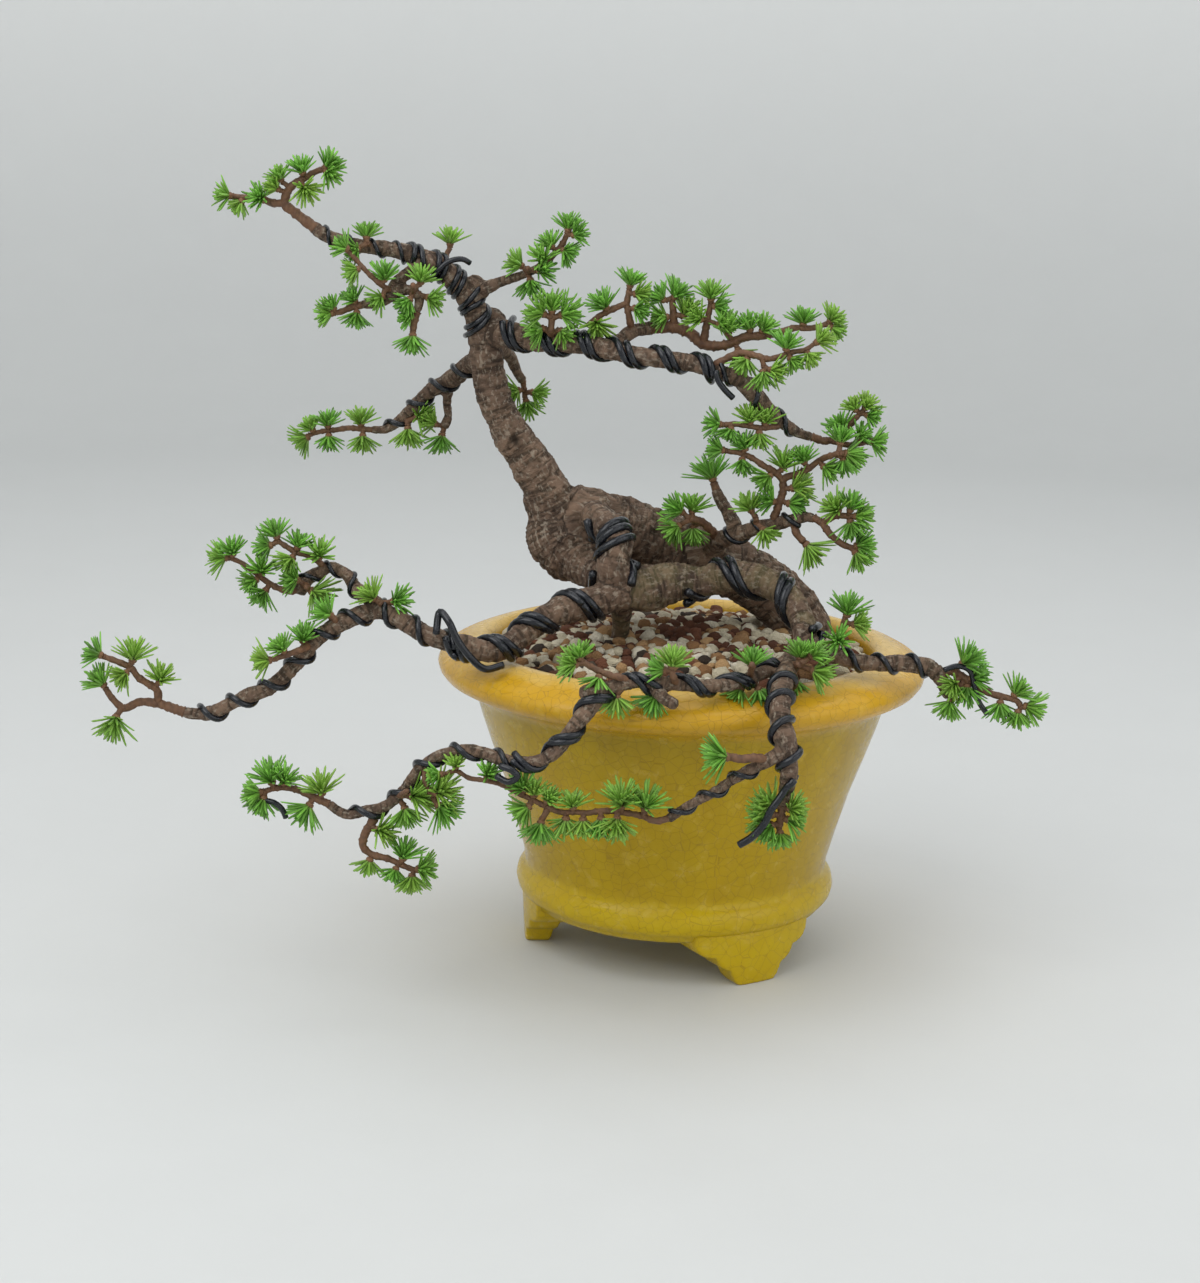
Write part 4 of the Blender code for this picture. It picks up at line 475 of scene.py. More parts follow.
        [(301, 590, 0), (289, 591, -2), (278, 588, 0), (266, 581, 0), (253, 571, 0), (240, 562, 0),
         (230, 558, 0)],
    ], [
        (227, 557, 178, 5, 1.2), (233, 554, 112, 15, 1.1), (262, 572, 92, 25, 1.1),
        (257, 579, -170, 30, 1.1), (266, 590, -125, 20, 1.2),
    ]),
    "spray_left_upper_stem": ((1.5, 1.2), [
        [(326, 567, 0), (310, 556, -2), (296, 552, -3), (284, 545, -3), (278, 541, -3)],
    ], [
        (277, 537, 112, 5, 1.2), (271, 545, 185, 10, 1.1), (298, 547, 80, 20, 1), (293, 557, 215, 30, 1.2),
        (320, 556, 110, 40, 1.2),
    ]),
    "spray_left_upper_knob": ((1.8, 1.5), [[(305, 584, 0), (307, 588, -6)]], [
        (312, 590, -10, 40, 1.6), (302, 580, 170, 45, 1.1),
    ]),
    "spray_left_fork": ((1.6, 1.3), [[(380, 609, 0), (381, 602, -5)]], [
        (374, 598, 120, 30, 1.2), (389, 604, 22, 20, 1.2),
    ]),
    "spray_back_left_tip": ((1.5, 1.1), [
        [(374, 430, 0), (361, 429, 0), (349, 428, 0), (335, 430, 0), (324, 431, 0), (311, 434, 0)],
    ], [
        (308, 437, 200, 5, 1.2), (313, 430, 128, 15, 1), (328, 426, 92, 10, 1.1), (329, 435, -90, 15, 1.1),
        (361, 424, 92, 10, 1.2), (363, 435, -88, 20, 1.2),
    ]),
    "spray_back_left_mid": ((1.6, 1.3), [[(406, 416, 0), (408, 424, -3)]], [
        (408, 428, -82, 15, 1.4), (418, 416, 0, 40, 1.2),
    ]),
    "spray_back_left_hook": ((1.6, 1.3), [[(444, 426, 0), (443, 432, 0)]], [
        (442, 435, -95, 15, 1.3), (436, 424, 150, 20, 1.1),
    ]),
    "spray_small_back": ((1.4, 1.2), [[(523, 381, 0), (524, 389, 0), (525, 398, 0)]], [
        (525, 401, -70, 10, 1.2), (519, 390, 205, 20, 1), (532, 392, -15, 20, 1.1),
    ]),
    "spray_front_rim_tip": ((1.9, 1.2), [
        [(327, 803, 0), (313, 797, 0), (301, 791, 0), (289, 788, 0), (277, 788, 0), (265, 791, 0)],
    ], [
        (272, 782, 112, 10, 1.4), (261, 792, 186, 5, 1.2), (264, 797, -105, 15, 1.2),
        (284, 782, 70, 25, 1.1), (322, 793, 108, 10, 1.4), (310, 804, 232, 25, 1.5),
    ]),
    "spray_front_rim_mid": ((1.3, 1.1), [[(397, 796, 0), (407, 791, -14)]], [
        (412, 795, 20, 35, 1.6), (405, 807, -88, 25, 1.3),
    ]),
    "spray_front_rim_bare": ((1.4, 1.1), [
        [(427, 763, 0), (425, 778, -3), (429, 790, -4), (434, 799, -4), (441, 815, -4)],
    ], [
        (437, 792, 32, 20, 1.5), (438, 802, -35, 20, 1.4),
    ]),
    "spray_front_fork": ((2.1, 1.2), [
        [(378, 810, 0), (372, 822, 0), (365, 834, 0), (363, 846, 0), (371, 854, 0), (389, 859, -1),
         (404, 866, -1), (414, 870, -1)],
    ], [
        (418, 869, 8, 5, 1.2), (412, 875, -80, 10, 1.1), (396, 868, -105, 20, 0.9), (403, 858, 82, 15, 1.3),
        (370, 859, -100, 15, 1), (378, 829, 15, 30, 1.2),
    ]),
    "spray_front_twig_fan": ((2.1, 1.7), [
        [(766, 757, 0), (755, 758, -3), (741, 759, -4), (731, 757, -4)],
    ], [
        (728, 757, 178, 10, 1.6),
    ]),
    "spray_front_long": ((1.5, 1), [
        [(670, 818, 0), (656, 821, -3), (642, 816, 0), (620, 812, 0), (600, 811, 0), (588, 813, 0),
         (575, 812, 0), (560, 812, 1), (545, 806, 1), (533, 800, 2), (520, 794, 3), (500, 784, 5),
         (482, 780, 7), (469, 778, 8), (456, 771, 9), (445, 774, 9)],
    ], [
        (645, 808, 78, 15, 1.5), (622, 805, 98, 15, 1.5), (617, 818, -85, 35, 1.4), (573, 807, 92, 10, 1),
        (566, 818, -100, 10, 1.2), (583, 819, -88, 10, 1.2), (601, 818, -88, 10, 1.2),
        (534, 795, 95, 10, 1), (524, 789, 135, 10, 1.1), (547, 800, 55, 20, 0.9), (529, 806, 200, 15, 1.3),
        (541, 822, -92, 10, 1.3), (487, 775, 60, 20, 0.9), (456, 766, 95, 15, 0.8),
        (442, 775, 185, 10, 0.9),
    ]),
    "spray_front_fall_tip": ((1.9, 1.5), [[(782, 806, 0), (781, 815, 0), (779, 827, 0)]], [
        (775, 805, 140, 15, 1.3), (772, 814, 178, 15, 1.6), (772, 824, 222, 20, 1.3),
        (788, 808, 40, 20, 1.2), (787, 819, -5, 15, 1.2), (780, 832, -88, 10, 1),
    ]),
}
SMALL_SPRAYS = {
    "spray_top_bend": ((1.4, 1.2), [[(372, 247, 0), (367, 243, -4)]], [
        (366, 241, 85, 10, 1), (361, 247, 195, 40, 0.9),
    ]),
    "spray_mid_left": ((1.5, 1.3), [[(757, 528, 0), (756, 518, -6)]], [
        (751, 510, 115, 15, 1.2), (762, 524, -60, 45, 1.1),
    ]),
    "spray_left_fork": ((1.5, 1.3), [[(337, 625, 0), (334, 618, -5)]], [(331, 615, 145, 20, 1.3)]),
}


def colour_property(name, description, default):
    """Give a colour setting."""
    return bpy.props.FloatVectorProperty(name=name, description=description, default=default, subtype="COLOR")


def length_property(name, description, default):
    """Give a length setting, in metres."""
    return bpy.props.FloatProperty(
        name=name, description=description, default=default, unit="LENGTH", subtype="DISTANCE",
    )


def count_property(name, description, default, least):
    """Give a setting that counts things."""
    return bpy.props.IntProperty(name=name, description=description, default=default, min=least)


class PotSettings(bpy.types.PropertyGroup):
    """Sizes and colours of the glazed pot."""

    relief: length_property("Glaze relief", "Depth of the glaze's dimples", 0.0004)
    body_colour: colour_property("Wall glaze", "Olive ochre of the wall", (0.36, 0.228, 0.0))
    lip_colour: colour_property("Lip glaze", "Warmer ochre of the lip", (0.54, 0.30, 0.008))
    band_colour: colour_property("Band glaze", "Yellow of the band and feet", (0.48, 0.318, 0.0))


class SoilSettings(bpy.types.PropertyGroup):
    """Number, sizes and colours of the soil's grains."""

    grains: count_property("Grains", "How many grains lie on top", 1300, 0)
    smallest: length_property("Smallest grain", "Smallest grain's width", 0.0038)
    largest: length_property("Largest grain", "Largest grain's width", 0.0088)
    pumice_colour: colour_property("Pumice", "Cream of the pumice", (0.60, 0.53, 0.38))
    lava_colour: colour_property("Lava", "Red-brown of the lava", (0.10, 0.040, 0.022))
    clay_colour: colour_property("Baked clay", "Orange-brown of the baked clay", (0.26, 0.135, 0.06))


class TreeSettings(bpy.types.PropertyGroup):
    """Sizes and colours of the wood, wires and needles."""

    needles: count_property("Needles a tuft", "Needles in a tuft of size 1", 36, 3)
    needle_length: length_property("Needle length", "Length of a needle in a tuft of size 1", 0.0073)
    needle_radius: length_property("Needle radius", "Half of a needle's width", 0.00060)
    bark_colour: colour_property("Bark", "Grey-brown of the bark", (0.190, 0.122, 0.084))
    twig_colour: colour_property("Twigs", "Red-brown of young twigs", (0.155, 0.068, 0.034))
    needle_colour: colour_property("Needles", "Fresh green of the needles", (0.165, 0.405, 0.050))
    wire_colour: colour_property("Wire", "Blue-black of the wire", (0.0055, 0.0068, 0.0105))


class StageSettings(bpy.types.PropertyGroup):
    """Backdrop and lights."""

    backdrop_colour: colour_property("Backdrop", "Pale grey of the backdrop", (0.62, 0.63, 0.625))
    key_power: bpy.props.FloatProperty(
        name="Main light", description="Power of the main light in watts", default=12.6, unit="POWER",
    )


def eye_axes():
    """Give the front view's forward, right and up directions."""
    forward = Vector((0.0, math.cos(EYE_PITCH), -math.sin(EYE_PITCH)))
    level = Vector((1.0, 0.0, 0.0))
    above = Vector((0.0, math.sin(EYE_PITCH), math.cos(EYE_PITCH)))
    right = level * math.cos(EYE_ROLL) + above * math.sin(EYE_ROLL)
    up = above * math.cos(EYE_ROLL) - level * math.sin(EYE_ROLL)
    return forward, right, up


def seen(across, down, depth):
    """Give the place at a depth behind the pot's axis that shows at a point of the front view."""
    forward, right, up = eye_axes()
    ray = forward * EYE_FOCAL
    ray += right * (across - PICTURE_WIDTH / 2.0)
    ray += up * (PICTURE_HEIGHT / 2.0 - down)
    return EYE + ray * ((AXIS.y + depth * MM - EYE.y) / ray.y)


class Heap:
    """Gathers corners, faces, finishes and tints for one mesh."""

    def __init__(self):
        self.corners = []
        self.faces = []
        self.finishes = []
        self.tints = []

    def add(self, corners, faces, finish=0, tints=None):
        """Add a shape, with one finish number and a tint for each corner."""
        first = len(self.corners)
        self.corners.extend(tuple(corner) for corner in corners)
        self.faces.extend([first + index for index in face] for face in faces)
        self.finishes.extend([finish] * len(faces))
        self.tints.extend(tints or [BLACK] * len(corners))

    def make(self, name, materials):
        """Turn what was gathered into a smooth object."""
        data = bpy.data.meshes.new(name)
        data.from_pydata(self.corners, [], self.faces)
        for finish in materials:
            data.materials.append(finish)
        data.polygons.foreach_set("material_index", self.finishes)
        tint = data.attributes.new("tint", "FLOAT_COLOR", "POINT")
        tint.data.foreach_set("color", [part for colour in self.tints for part in (*colour, 1.0)])
        data.update()
        made = bpy.data.objects.new(name, data)
        make_smooth(made)
        bpy.context.scene.collection.objects.link(made)
        return made


def make_smooth(target):
    """Shade all of an object's faces smoothly."""
    faces = target.data.polygons
    faces.foreach_set("use_smooth", [True] * len(faces))


def settle(target):
    """Apply an object's modifiers."""
    bpy.context.view_layer.update()
    graph = bpy.context.evaluated_depsgraph_get()
    data = bpy.data.meshes.new_from_object(target.evaluated_get(graph))
    target.modifiers.clear()
    target.data = data


def remodel(target, voxel, softness, rounds):
    """Make one even, softened surface of an object's parts."""
    remesh = target.modifiers.new("remesh", "REMESH")
    remesh.mode = "VOXEL"
    remesh.voxel_size = voxel * MM
    soften = target.modifiers.new("soften", "SMOOTH")
    soften.factor = softness
    soften.iterations = rounds
    settle(target)


def smooth_line(points, spacing):
    """Resample a route of (x, y, z, radius), in metres, along a centripetal Catmull-Rom curve."""
    route = numpy.array([tuple(point) for point in points], dtype=float)
    route = numpy.vstack([2.0 * route[0] - route[1], route, 2.0 * route[-1] - route[-2]])
    line = []
    for index in range(1, len(route) - 2):
        p0, p1, p2, p3 = route[index - 1:index + 3]
        t0 = 0.0
        t1 = t0 + max(1e-4, numpy.linalg.norm((p1 - p0)[:3]) ** 0.5)
        t2 = t1 + max(1e-4, numpy.linalg.norm((p2 - p1)[:3]) ** 0.5)
        t3 = t2 + max(1e-4, numpy.linalg.norm((p3 - p2)[:3]) ** 0.5)
        count = max(1, int(round(numpy.linalg.norm((p2 - p1)[:3]) / spacing)))
        for step in range(count):
            t = t1 + (t2 - t1) * step / count
            a1 = p0 * (t1 - t) / (t1 - t0) + p1 * (t - t0) / (t1 - t0)
            a2 = p1 * (t2 - t) / (t2 - t1) + p2 * (t - t1) / (t2 - t1)
            a3 = p2 * (t3 - t) / (t3 - t2) + p3 * (t - t2) / (t3 - t2)
            b1 = a1 * (t2 - t) / (t2 - t0) + a2 * (t - t0) / (t2 - t0)
            b2 = a2 * (t3 - t) / (t3 - t1) + a3 * (t - t1) / (t3 - t1)
            line.append(b1 * (t2 - t) / (t2 - t1) + b2 * (t - t1) / (t2 - t1))
    line.append(route[-2])
    line = numpy.array(line)
    line[:, 3] = numpy.maximum(line[:, 3], 0.1 * MM)
    return [Vector(row[:3]) for row in line], [float(row[3]) for row in line]


def side_frames(points):
    """Give each point of a line its direction and two sides that don't twist along it."""
    frames = []
    side = None
    for index in range(len(points)):
        low = points[max(0, index - 1)]
        high = points[min(len(points) - 1, index + 1)]
        direction = (high - low).normalized()
        if side is None:
            side = direction.orthogonal()
        side = (side - direction * side.dot(direction)).normalized()
        frames.append((direction, side, direction.cross(side)))
    return frames


def sweep(points, radii, sides, turn=0.0):
    """Give the corners and faces of a closed tube along a line, with slightly domed ends."""
    corners = []
    faces = []
    for place, radius, (direction, side, other) in zip(points, radii, side_frames(points)):
        for corner in range(sides):
            around = turn + 2.0 * math.pi * corner / sides
            corners.append(place + (side * math.cos(around) + other * math.sin(around)) * radius)
    for ring in range(len(points) - 1):
        for corner in range(sides):
            after = (corner + 1) % sides
            low = ring * sides
            high = low + sides
            faces.append([low + corner, low + after, high + after, high + corner])
    first = len(corners)
    corners.append(points[0] + (points[0] - points[1]).normalized() * radii[0] * 0.35)
    corners.append(points[-1] + (points[-1] - points[-2]).normalized() * radii[-1] * 0.35)
    last = (len(points) - 1) * sides
    for corner in range(sides):
        after = (corner + 1) % sides
        faces.append([first, after, corner])
        faces.append([first + 1, last + corner, last + after])
    return corners, faces


def lathe(profile, steps, closed):
    """Turn a profile of (radius, height), in millimetres, round the pot's axis."""
    corners = []
    faces = []
    for step in range(steps):
        around = 2.0 * math.pi * step / steps
        for radius, height in profile:
            corners.append(AXIS + Vector((radius * math.cos(around), radius * math.sin(around), height)) * MM)
    count = len(profile)
    for step in range(steps):
        low = step * count
        high = (step + 1) % steps * count
        for index in range(count if closed else count - 1):
            after = (index + 1) % count
            faces.append([low + index, high + index, high + after, low + after])
    return corners, faces


def weld(target):
    """Weld corners that lie on each other and turn the faces outwards."""
    mesh = bmesh.new()
    mesh.from_mesh(target.data)
    bmesh.ops.remove_doubles(mesh, verts=mesh.verts, dist=0.005 * MM)
    bmesh.ops.dissolve_degenerate(mesh, edges=mesh.edges, dist=0.002 * MM)
    bmesh.ops.recalc_face_normals(mesh, faces=mesh.faces)
    mesh.to_mesh(target.data)
    mesh.free()


def tree_of(target):
    """Give a search tree over an object's faces."""
    places = [vert.co.copy() for vert in target.data.vertices]
    return BVHTree.FromPolygons(places, [list(face.vertices) for face in target.data.polygons])


def node(tree, kind, values=None, **settings):
    """Add a shader node with its settings and the values of its inputs."""
    made = tree.nodes.new(kind)
    for name, value in settings.items():
        setattr(made, name, value)
    for key, value in (values or {}).items():
        if isinstance(value, bpy.types.NodeSocket):
            tree.links.new(value, made.inputs[key])
        else:
            made.inputs[key].default_value = value
    return made


def shade(tone, factor):
    """Lighten or darken a colour."""
    return [part * factor for part in tone]


def blend(tree, share, first, second):
    """Blend two colours or sockets by a share."""
    sides = [side if isinstance(side, bpy.types.NodeSocket) else (*side, 1.0) for side in (first, second)]
    return node(tree, "ShaderNodeMix", {0: share, 6: sides[0], 7: sides[1]}, data_type="RGBA").outputs[2]


def reckon(tree, operation, first, second=0.0, clamp=False):
    """Add one sum to a material."""
    sums = {0: first, 1: second}
    return node(tree, "ShaderNodeMath", sums, operation=operation, use_clamp=clamp).outputs[0]


def lay(tree, base, mask, strength, tone):
    """Lay a colour over a base, as far as a mask and a strength let it."""
    return blend(tree, reckon(tree, "MULTIPLY", mask, strength), base, tone)


def between(tree, value, low, high):
    """Turn a value's climb from low to high into 0 to 1, smoothly."""
    ends = {"Value": value, "From Min": low, "From Max": high}
    return node(tree, "ShaderNodeMapRange", ends, interpolation_type="SMOOTHSTEP").outputs["Result"]


def scaled(tree, value, low, high):
    """Turn 0 to 1 into low to high."""
    return node(tree, "ShaderNodeMapRange", {"Value": value, "To Min": low, "To Max": high}).outputs["Result"]


def tint_parts(tree):
    """Give the three parts of the tint that the mesh carries."""
    tint = node(tree, "ShaderNodeAttribute", attribute_name="tint").outputs["Color"]
    return node(tree, "ShaderNodeSeparateColor", {0: tint}).outputs


def mottle_group():
    """Build the shared group for uneven tone and fine relief, or give it if it is there."""
    name = "mottle"
    if name in bpy.data.node_groups:
        return bpy.data.node_groups[name]
    group = bpy.data.node_groups.new(name, "ShaderNodeTree")
    sockets = {"Vector": "Vector", "Scale": "Float", "Stretch": "Vector", "Contrast": "Float"}
    for label, kind in sockets.items():
        group.interface.new_socket(label, in_out="INPUT", socket_type="NodeSocket" + kind)
    for label in ("Mask", "Height"):
        group.interface.new_socket(label, in_out="OUTPUT", socket_type="NodeSocketFloat")
    start = group.nodes.new("NodeGroupInput").outputs
    sides = {0: start["Vector"], 1: start["Stretch"]}
    stretched = node(group, "ShaderNodeVectorMath", sides, operation="MULTIPLY").outputs[0]
    broad = node(group, "ShaderNodeTexNoise", {
        "Vector": stretched, "Scale": start["Scale"], "Detail": 4.0, "Roughness": 0.6,
    })
    fine = node(group, "ShaderNodeTexNoise", {
        "Vector": stretched, "Scale": reckon(group, "MULTIPLY", start["Scale"], 4.3),
        "Detail": 5.0, "Roughness": 0.65,
    })
    apart = reckon(group, "SUBTRACT", broad.outputs[0], 0.5)
    stronger = reckon(group, "MULTIPLY", apart, start["Contrast"])
    mask = reckon(group, "ADD", stronger, 0.5, clamp=True)
    node(group, "NodeGroupOutput", {"Mask": mask, "Height": fine.outputs[0]})
    return group


def mottle(tree, vector, scale, contrast, stretch=(1.0, 1.0, 1.0)):
    """Place the shared mottle in a material, and give its mask and its height."""
    made = node(tree, "ShaderNodeGroup", {
        "Vector": vector, "Scale": scale, "Contrast": contrast, "Stretch": stretch,
    }, node_tree=mottle_group())
    return made.outputs["Mask"], made.outputs["Height"]


def start_material(name):
    """Start a material, and give it with its node tree, its shader and the place on the object."""
    made = bpy.data.materials.new(name)
    made.use_nodes = True
    tree = made.node_tree
    place = node(tree, "ShaderNodeTexCoord").outputs["Object"]
    return made, tree, tree.nodes["Principled BSDF"], place


def finish_material(tree, shader, base, roughness, height, distance, gloss=None):
    """Join a material's colour, roughness and relief to its shader, and set its gloss."""
    tree.links.new(base, shader.inputs["Base Color"])
    tree.links.new(roughness, shader.inputs["Roughness"])
    bump = node(tree, "ShaderNodeBump", {"Height": height, "Distance": distance, "Strength": 1.0})
    tree.links.new(bump.outputs[0], shader.inputs["Normal"])
    for name, value in (gloss or {}).items():
        shader.inputs[name].default_value = value


def glaze_material(settings):
    """Make the crackled ochre glaze, warmer on the lip and yellow where it pooled on the band, with a painted
    highlight along the lip's crest.
    """
    made, tree, shader, place = start_material("ochre_glaze")
    height = node(tree, "ShaderNodeSeparateXYZ", {0: place}).outputs[2]
    drift = mottle(tree, place, 26.0, 2.4)[0]
    fine, speckle = mottle(tree, place, 120.0, 2.6)
    runs = mottle(tree, place, 60.0, 3.0, (1.0, 1.0, 0.16))[0]
    wall = blend(tree, drift, settings.body_colour, shade(settings.body_colour, 1.22))
    wall = lay(tree, wall, runs, 0.5, (0.50, 0.34, 0.0))
    lip = blend(tree, drift, settings.lip_colour, (0.66, 0.37, 0.03))
    band = blend(tree, drift, settings.band_colour, (0.56, 0.39, 0.002))
    wobble = reckon(tree, "MULTIPLY", reckon(tree, "SUBTRACT", drift, 0.5), 0.004)
    level = reckon(tree, "ADD", height, wobble)
    base = blend(tree, between(tree, level, 0.1175, 0.1245), wall, lip)
    base = blend(tree, between(tree, level, 0.0425, 0.0365), base, band)
    base = lay(tree, base, between(tree, speckle, 0.60, 0.72), 0.55, (0.24, 0.135, 0.004))
    base = lay(tree, base, between(tree, fine, 0.55, 0.95), 0.16, (0.72, 0.52, 0.10))
    # Painted highlight: a pale band along the top of the lip's crest.
    base = lay(tree, base, between(tree, level, 0.1380, 0.1412), 0.35, (0.80, 0.62, 0.25))
    cells = node(tree, "ShaderNodeTexVoronoi", {"Vector": place, "Scale": 210.0}, feature="DISTANCE_TO_EDGE")
    cracks = between(tree, cells.outputs["Distance"], 0.035, 0.0)
    base = lay(tree, base, cracks, 0.32, (0.16, 0.085, 0.012))
    waves = node(tree, "ShaderNodeTexNoise", {"Vector": place, "Scale": 75.0, "Detail": 3.0}).outputs[0]
    relief = reckon(tree, "ADD", waves, reckon(tree, "MULTIPLY", speckle, 0.35))
    relief = reckon(tree, "SUBTRACT", relief, reckon(tree, "MULTIPLY", cracks, 0.20))
    gloss = {"Coat Weight": 0.06, "Coat Roughness": 0.05, "Specular IOR Level": 0.28}
    finish_material(tree, shader, base, scaled(tree, fine, 0.13, 0.30), relief, settings.relief, gloss)
    return made


def grain_material(name, tone, pale, pit_shade):
    """Make one kind of porous grain, with painted shade in its pits."""
    made, tree, shader, place = start_material(name)
    mask, height = mottle(tree, place, 260.0, 2.0)
    base = blend(tree, mask, shade(tone, 0.72), tone)
    base = blend(tree, tint_parts(tree)[0], base, pale)
    holes = node(tree, "ShaderNodeTexVoronoi", {"Vector": place, "Scale": 1400.0}).outputs["Distance"]
    # Painted shade: the pits, which the relief sinks, are darkened.
    base = lay(tree, base, between(tree, holes, 0.22, 0.08), pit_shade, shade(tone, 0.30))
    relief = reckon(tree, "ADD", height, reckon(tree, "MULTIPLY", holes, 0.8))
    rough = scaled(tree, mask, 0.85, 0.98)
    finish_material(tree, shader, base, rough, relief, 0.0006, {"Specular IOR Level": 0.25})
    return made


def bark_material(settings):
    """Make the flaking grey-brown bark, greener low down, with pale healed wood and painted shade in its ring
    grooves, creases, scar hollow and knot hole.
    """
    made, tree, shader, place = start_material("larch_bark")
    along = node(tree, "ShaderNodeAttribute", attribute_name="grain").outputs["Vector"]
    green, healed, painted_shade = tint_parts(tree)
    drift = mottle(tree, place, 75.0, 3.2)[0]
    rings, ring_height = mottle(tree, along, 0.16, 3.4, (0.5, 0.5, 2.6))
    flakes, flake_height = mottle(tree, along, 0.5, 2.6, (1.3, 1.3, 0.7))
    tone = settings.bark_colour
    base = blend(tree, drift, tone, shade(tone, 1.7))
    # Painted shade: darker where the rings sink into grooves.
    base = lay(tree, base, between(tree, rings, 0.60, 0.12), 0.8, shade(tone, 0.26))
    base = lay(tree, base, between(tree, flakes, 0.52, 0.92), 0.75, (0.50, 0.41, 0.32))
    # Painted shade from the tint's third part: creases, scar hollow and knot hole.
    base = blend(tree, painted_shade, base, shade(tone, 0.30))
    lichen = reckon(tree, "MULTIPLY", green, between(tree, drift, 0.25, 0.8))
    base = lay(tree, base, lichen, 0.40, (0.20, 0.19, 0.07))
    base = blend(tree, healed, base, (0.46, 0.38, 0.28))
    relief = reckon(tree, "ADD", reckon(tree, "MULTIPLY", ring_height, 0.6), flake_height)
    relief = reckon(tree, "ADD", relief, rings)
    rough = scaled(tree, flakes, 0.68, 0.9)
    finish_material(tree, shader, base, rough, relief, 0.0014, {"Specular IOR Level": 0.3})
    return made


def twig_material(name, tone, pale):
    """Make the smooth ringed bark of young twigs and buds."""
    made, tree, shader, place = start_material(name)
    mask, height = mottle(tree, place, 330.0, 2.4)
    base = blend(tree, mask, shade(tone, 0.45), tone)
    base = blend(tree, tint_parts(tree)[0], base, pale)
    finish_material(tree, shader, base, scaled(tree, mask, 0.5, 0.75), height, 0.0003)
    return made


def needle_material(settings):
    """Make the soft green of the needles, pale at the base and varied from needle to needle."""
    made, tree, shader, place = start_material("larch_needles")
    reach, lightness, yellowness = tint_parts(tree)
    mask, height = mottle(tree, place, 90.0, 2.0)
    green = settings.needle_colour
    base = blend(tree, lightness, shade(green, 0.38), shade(green, 1.55))
    base = lay(tree, base, mask, 0.5, green)
    base = blend(tree, yellowness, base, (0.34, 0.50, 0.07))
    base = lay(tree, base, between(tree, reach, 0.32, 0.0), 0.6, (0.44, 0.54, 0.20))
    finish_material(tree, shader, base, scaled(tree, mask, 0.42, 0.6), height, 0.0001)
    return made


def wire_material(settings):
    """Make the blue-black wire, with a soft gloss and small scuffs."""
    made, tree, shader, place = start_material("black_wire")
    mask, height = mottle(tree, place, 420.0, 3.0)
    scuffs = mottle(tree, place, 900.0, 3.0)[0]
    base = blend(tree, mask, settings.wire_colour, shade(settings.wire_colour, 1.5))
    base = lay(tree, base, between(tree, scuffs, 0.85, 1.0), 0.25, (0.08, 0.09, 0.105))
    gloss = {"Metallic": 0.3, "Coat Weight": 0.25, "Coat Roughness": 0.15}
    finish_material(tree, shader, base, scaled(tree, mask, 0.19, 0.30), height, 0.00003, gloss)
    return made


def plastic_material():
    """Make the black moulded plastic of the drainage mesh."""
    made, tree, shader, place = start_material("moulded_plastic")
    mask, height = mottle(tree, place, 300.0, 2.0)
    base = blend(tree, mask, (0.012, 0.012, 0.012), (0.035, 0.034, 0.032))
    finish_material(tree, shader, base, scaled(tree, mask, 0.42, 0.62), height, 0.0001)
    return made


def place_piece(piece, finish_slot, *nodes):
    """Let a piece ride on the object in place of its nodes."""
    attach(piece, "root")
    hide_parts(*nodes)


def make_feet():
    """Make the three bracket feet with soft scalloped edges."""
    heap = Heap()
    heap.add(*lathe(FOOT_RING, POT_STEPS, True))
    feet = heap.make("bracket_feet", [])
    weld(feet)
    heap = Heap()
    outline = FOOT_FLANK + [(-across, up) for across, up in reversed(FOOT_FLANK)]
    count = len(outline)
    faces = [list(range(count)), list(range(count, 2 * count))[::-1]]
    for index in range(count):
        after = (index + 1) % count
        faces.append([index, count + index, count + after, after])
    for turn in FOOT_TURNS:
        way = Matrix.Rotation(math.radians(turn), 3, "Z")
        corners = []
        for radius in FOOT_REACH:
            corners.extend(AXIS + way @ Vector((radius, -across, up)) * MM for across, up in outline)
        heap.add(corners, faces)
    plates = heap.make("foot_outlines", [])
    weld(plates)
    cut = feet.modifiers.new("cut", "BOOLEAN")
    cut.operation = "INTERSECT"
    cut.solver = "EXACT"
    cut.object = plates
    remodel(feet, FOOT_VOXEL, 0.6, 6)
    bpy.data.objects.remove(plates)
    return feet


def soil_height(radius):
    """Give the soil's height at a distance from the axis, in millimetres."""
    share = min(1.0, radius / 80.0)
    return SOIL_MIDDLE_HEIGHT - (SOIL_MIDDLE_HEIGHT - SOIL_EDGE_HEIGHT) * share * share


def grain_shape(size, dice):
    """Give the corners and faces of one rough grain at the origin."""
    mesh = bmesh.new()
    bmesh.ops.create_icosphere(mesh, subdivisions=1, radius=size / 2.0)
    bmesh.ops.subdivide_edges(mesh, edges=mesh.edges, cuts=1, use_grid_fill=True)
    shape = Vector((dice.uniform(0.8, 1.2), dice.uniform(0.75, 1.1), dice.uniform(0.65, 0.95)))
    shift = Vector((dice.uniform(0.0, 90.0), dice.uniform(0.0, 90.0), dice.uniform(0.0, 90.0)))
    for vert in mesh.verts:
        way = vert.co.normalized()
        swell = 1.0 + 0.30 * noise.noise(way * 1.3 + shift) + 0.16 * noise.noise(way * 3.1 + shift)
        vert.co = Vector(part * stretch for part, stretch in zip(way * size / 2.0 * swell, shape))
    corners = [vert.co.copy() for vert in mesh.verts]
    faces = [[vert.index for vert in face.verts] for face in mesh.faces]
    mesh.free()
    return corners, faces


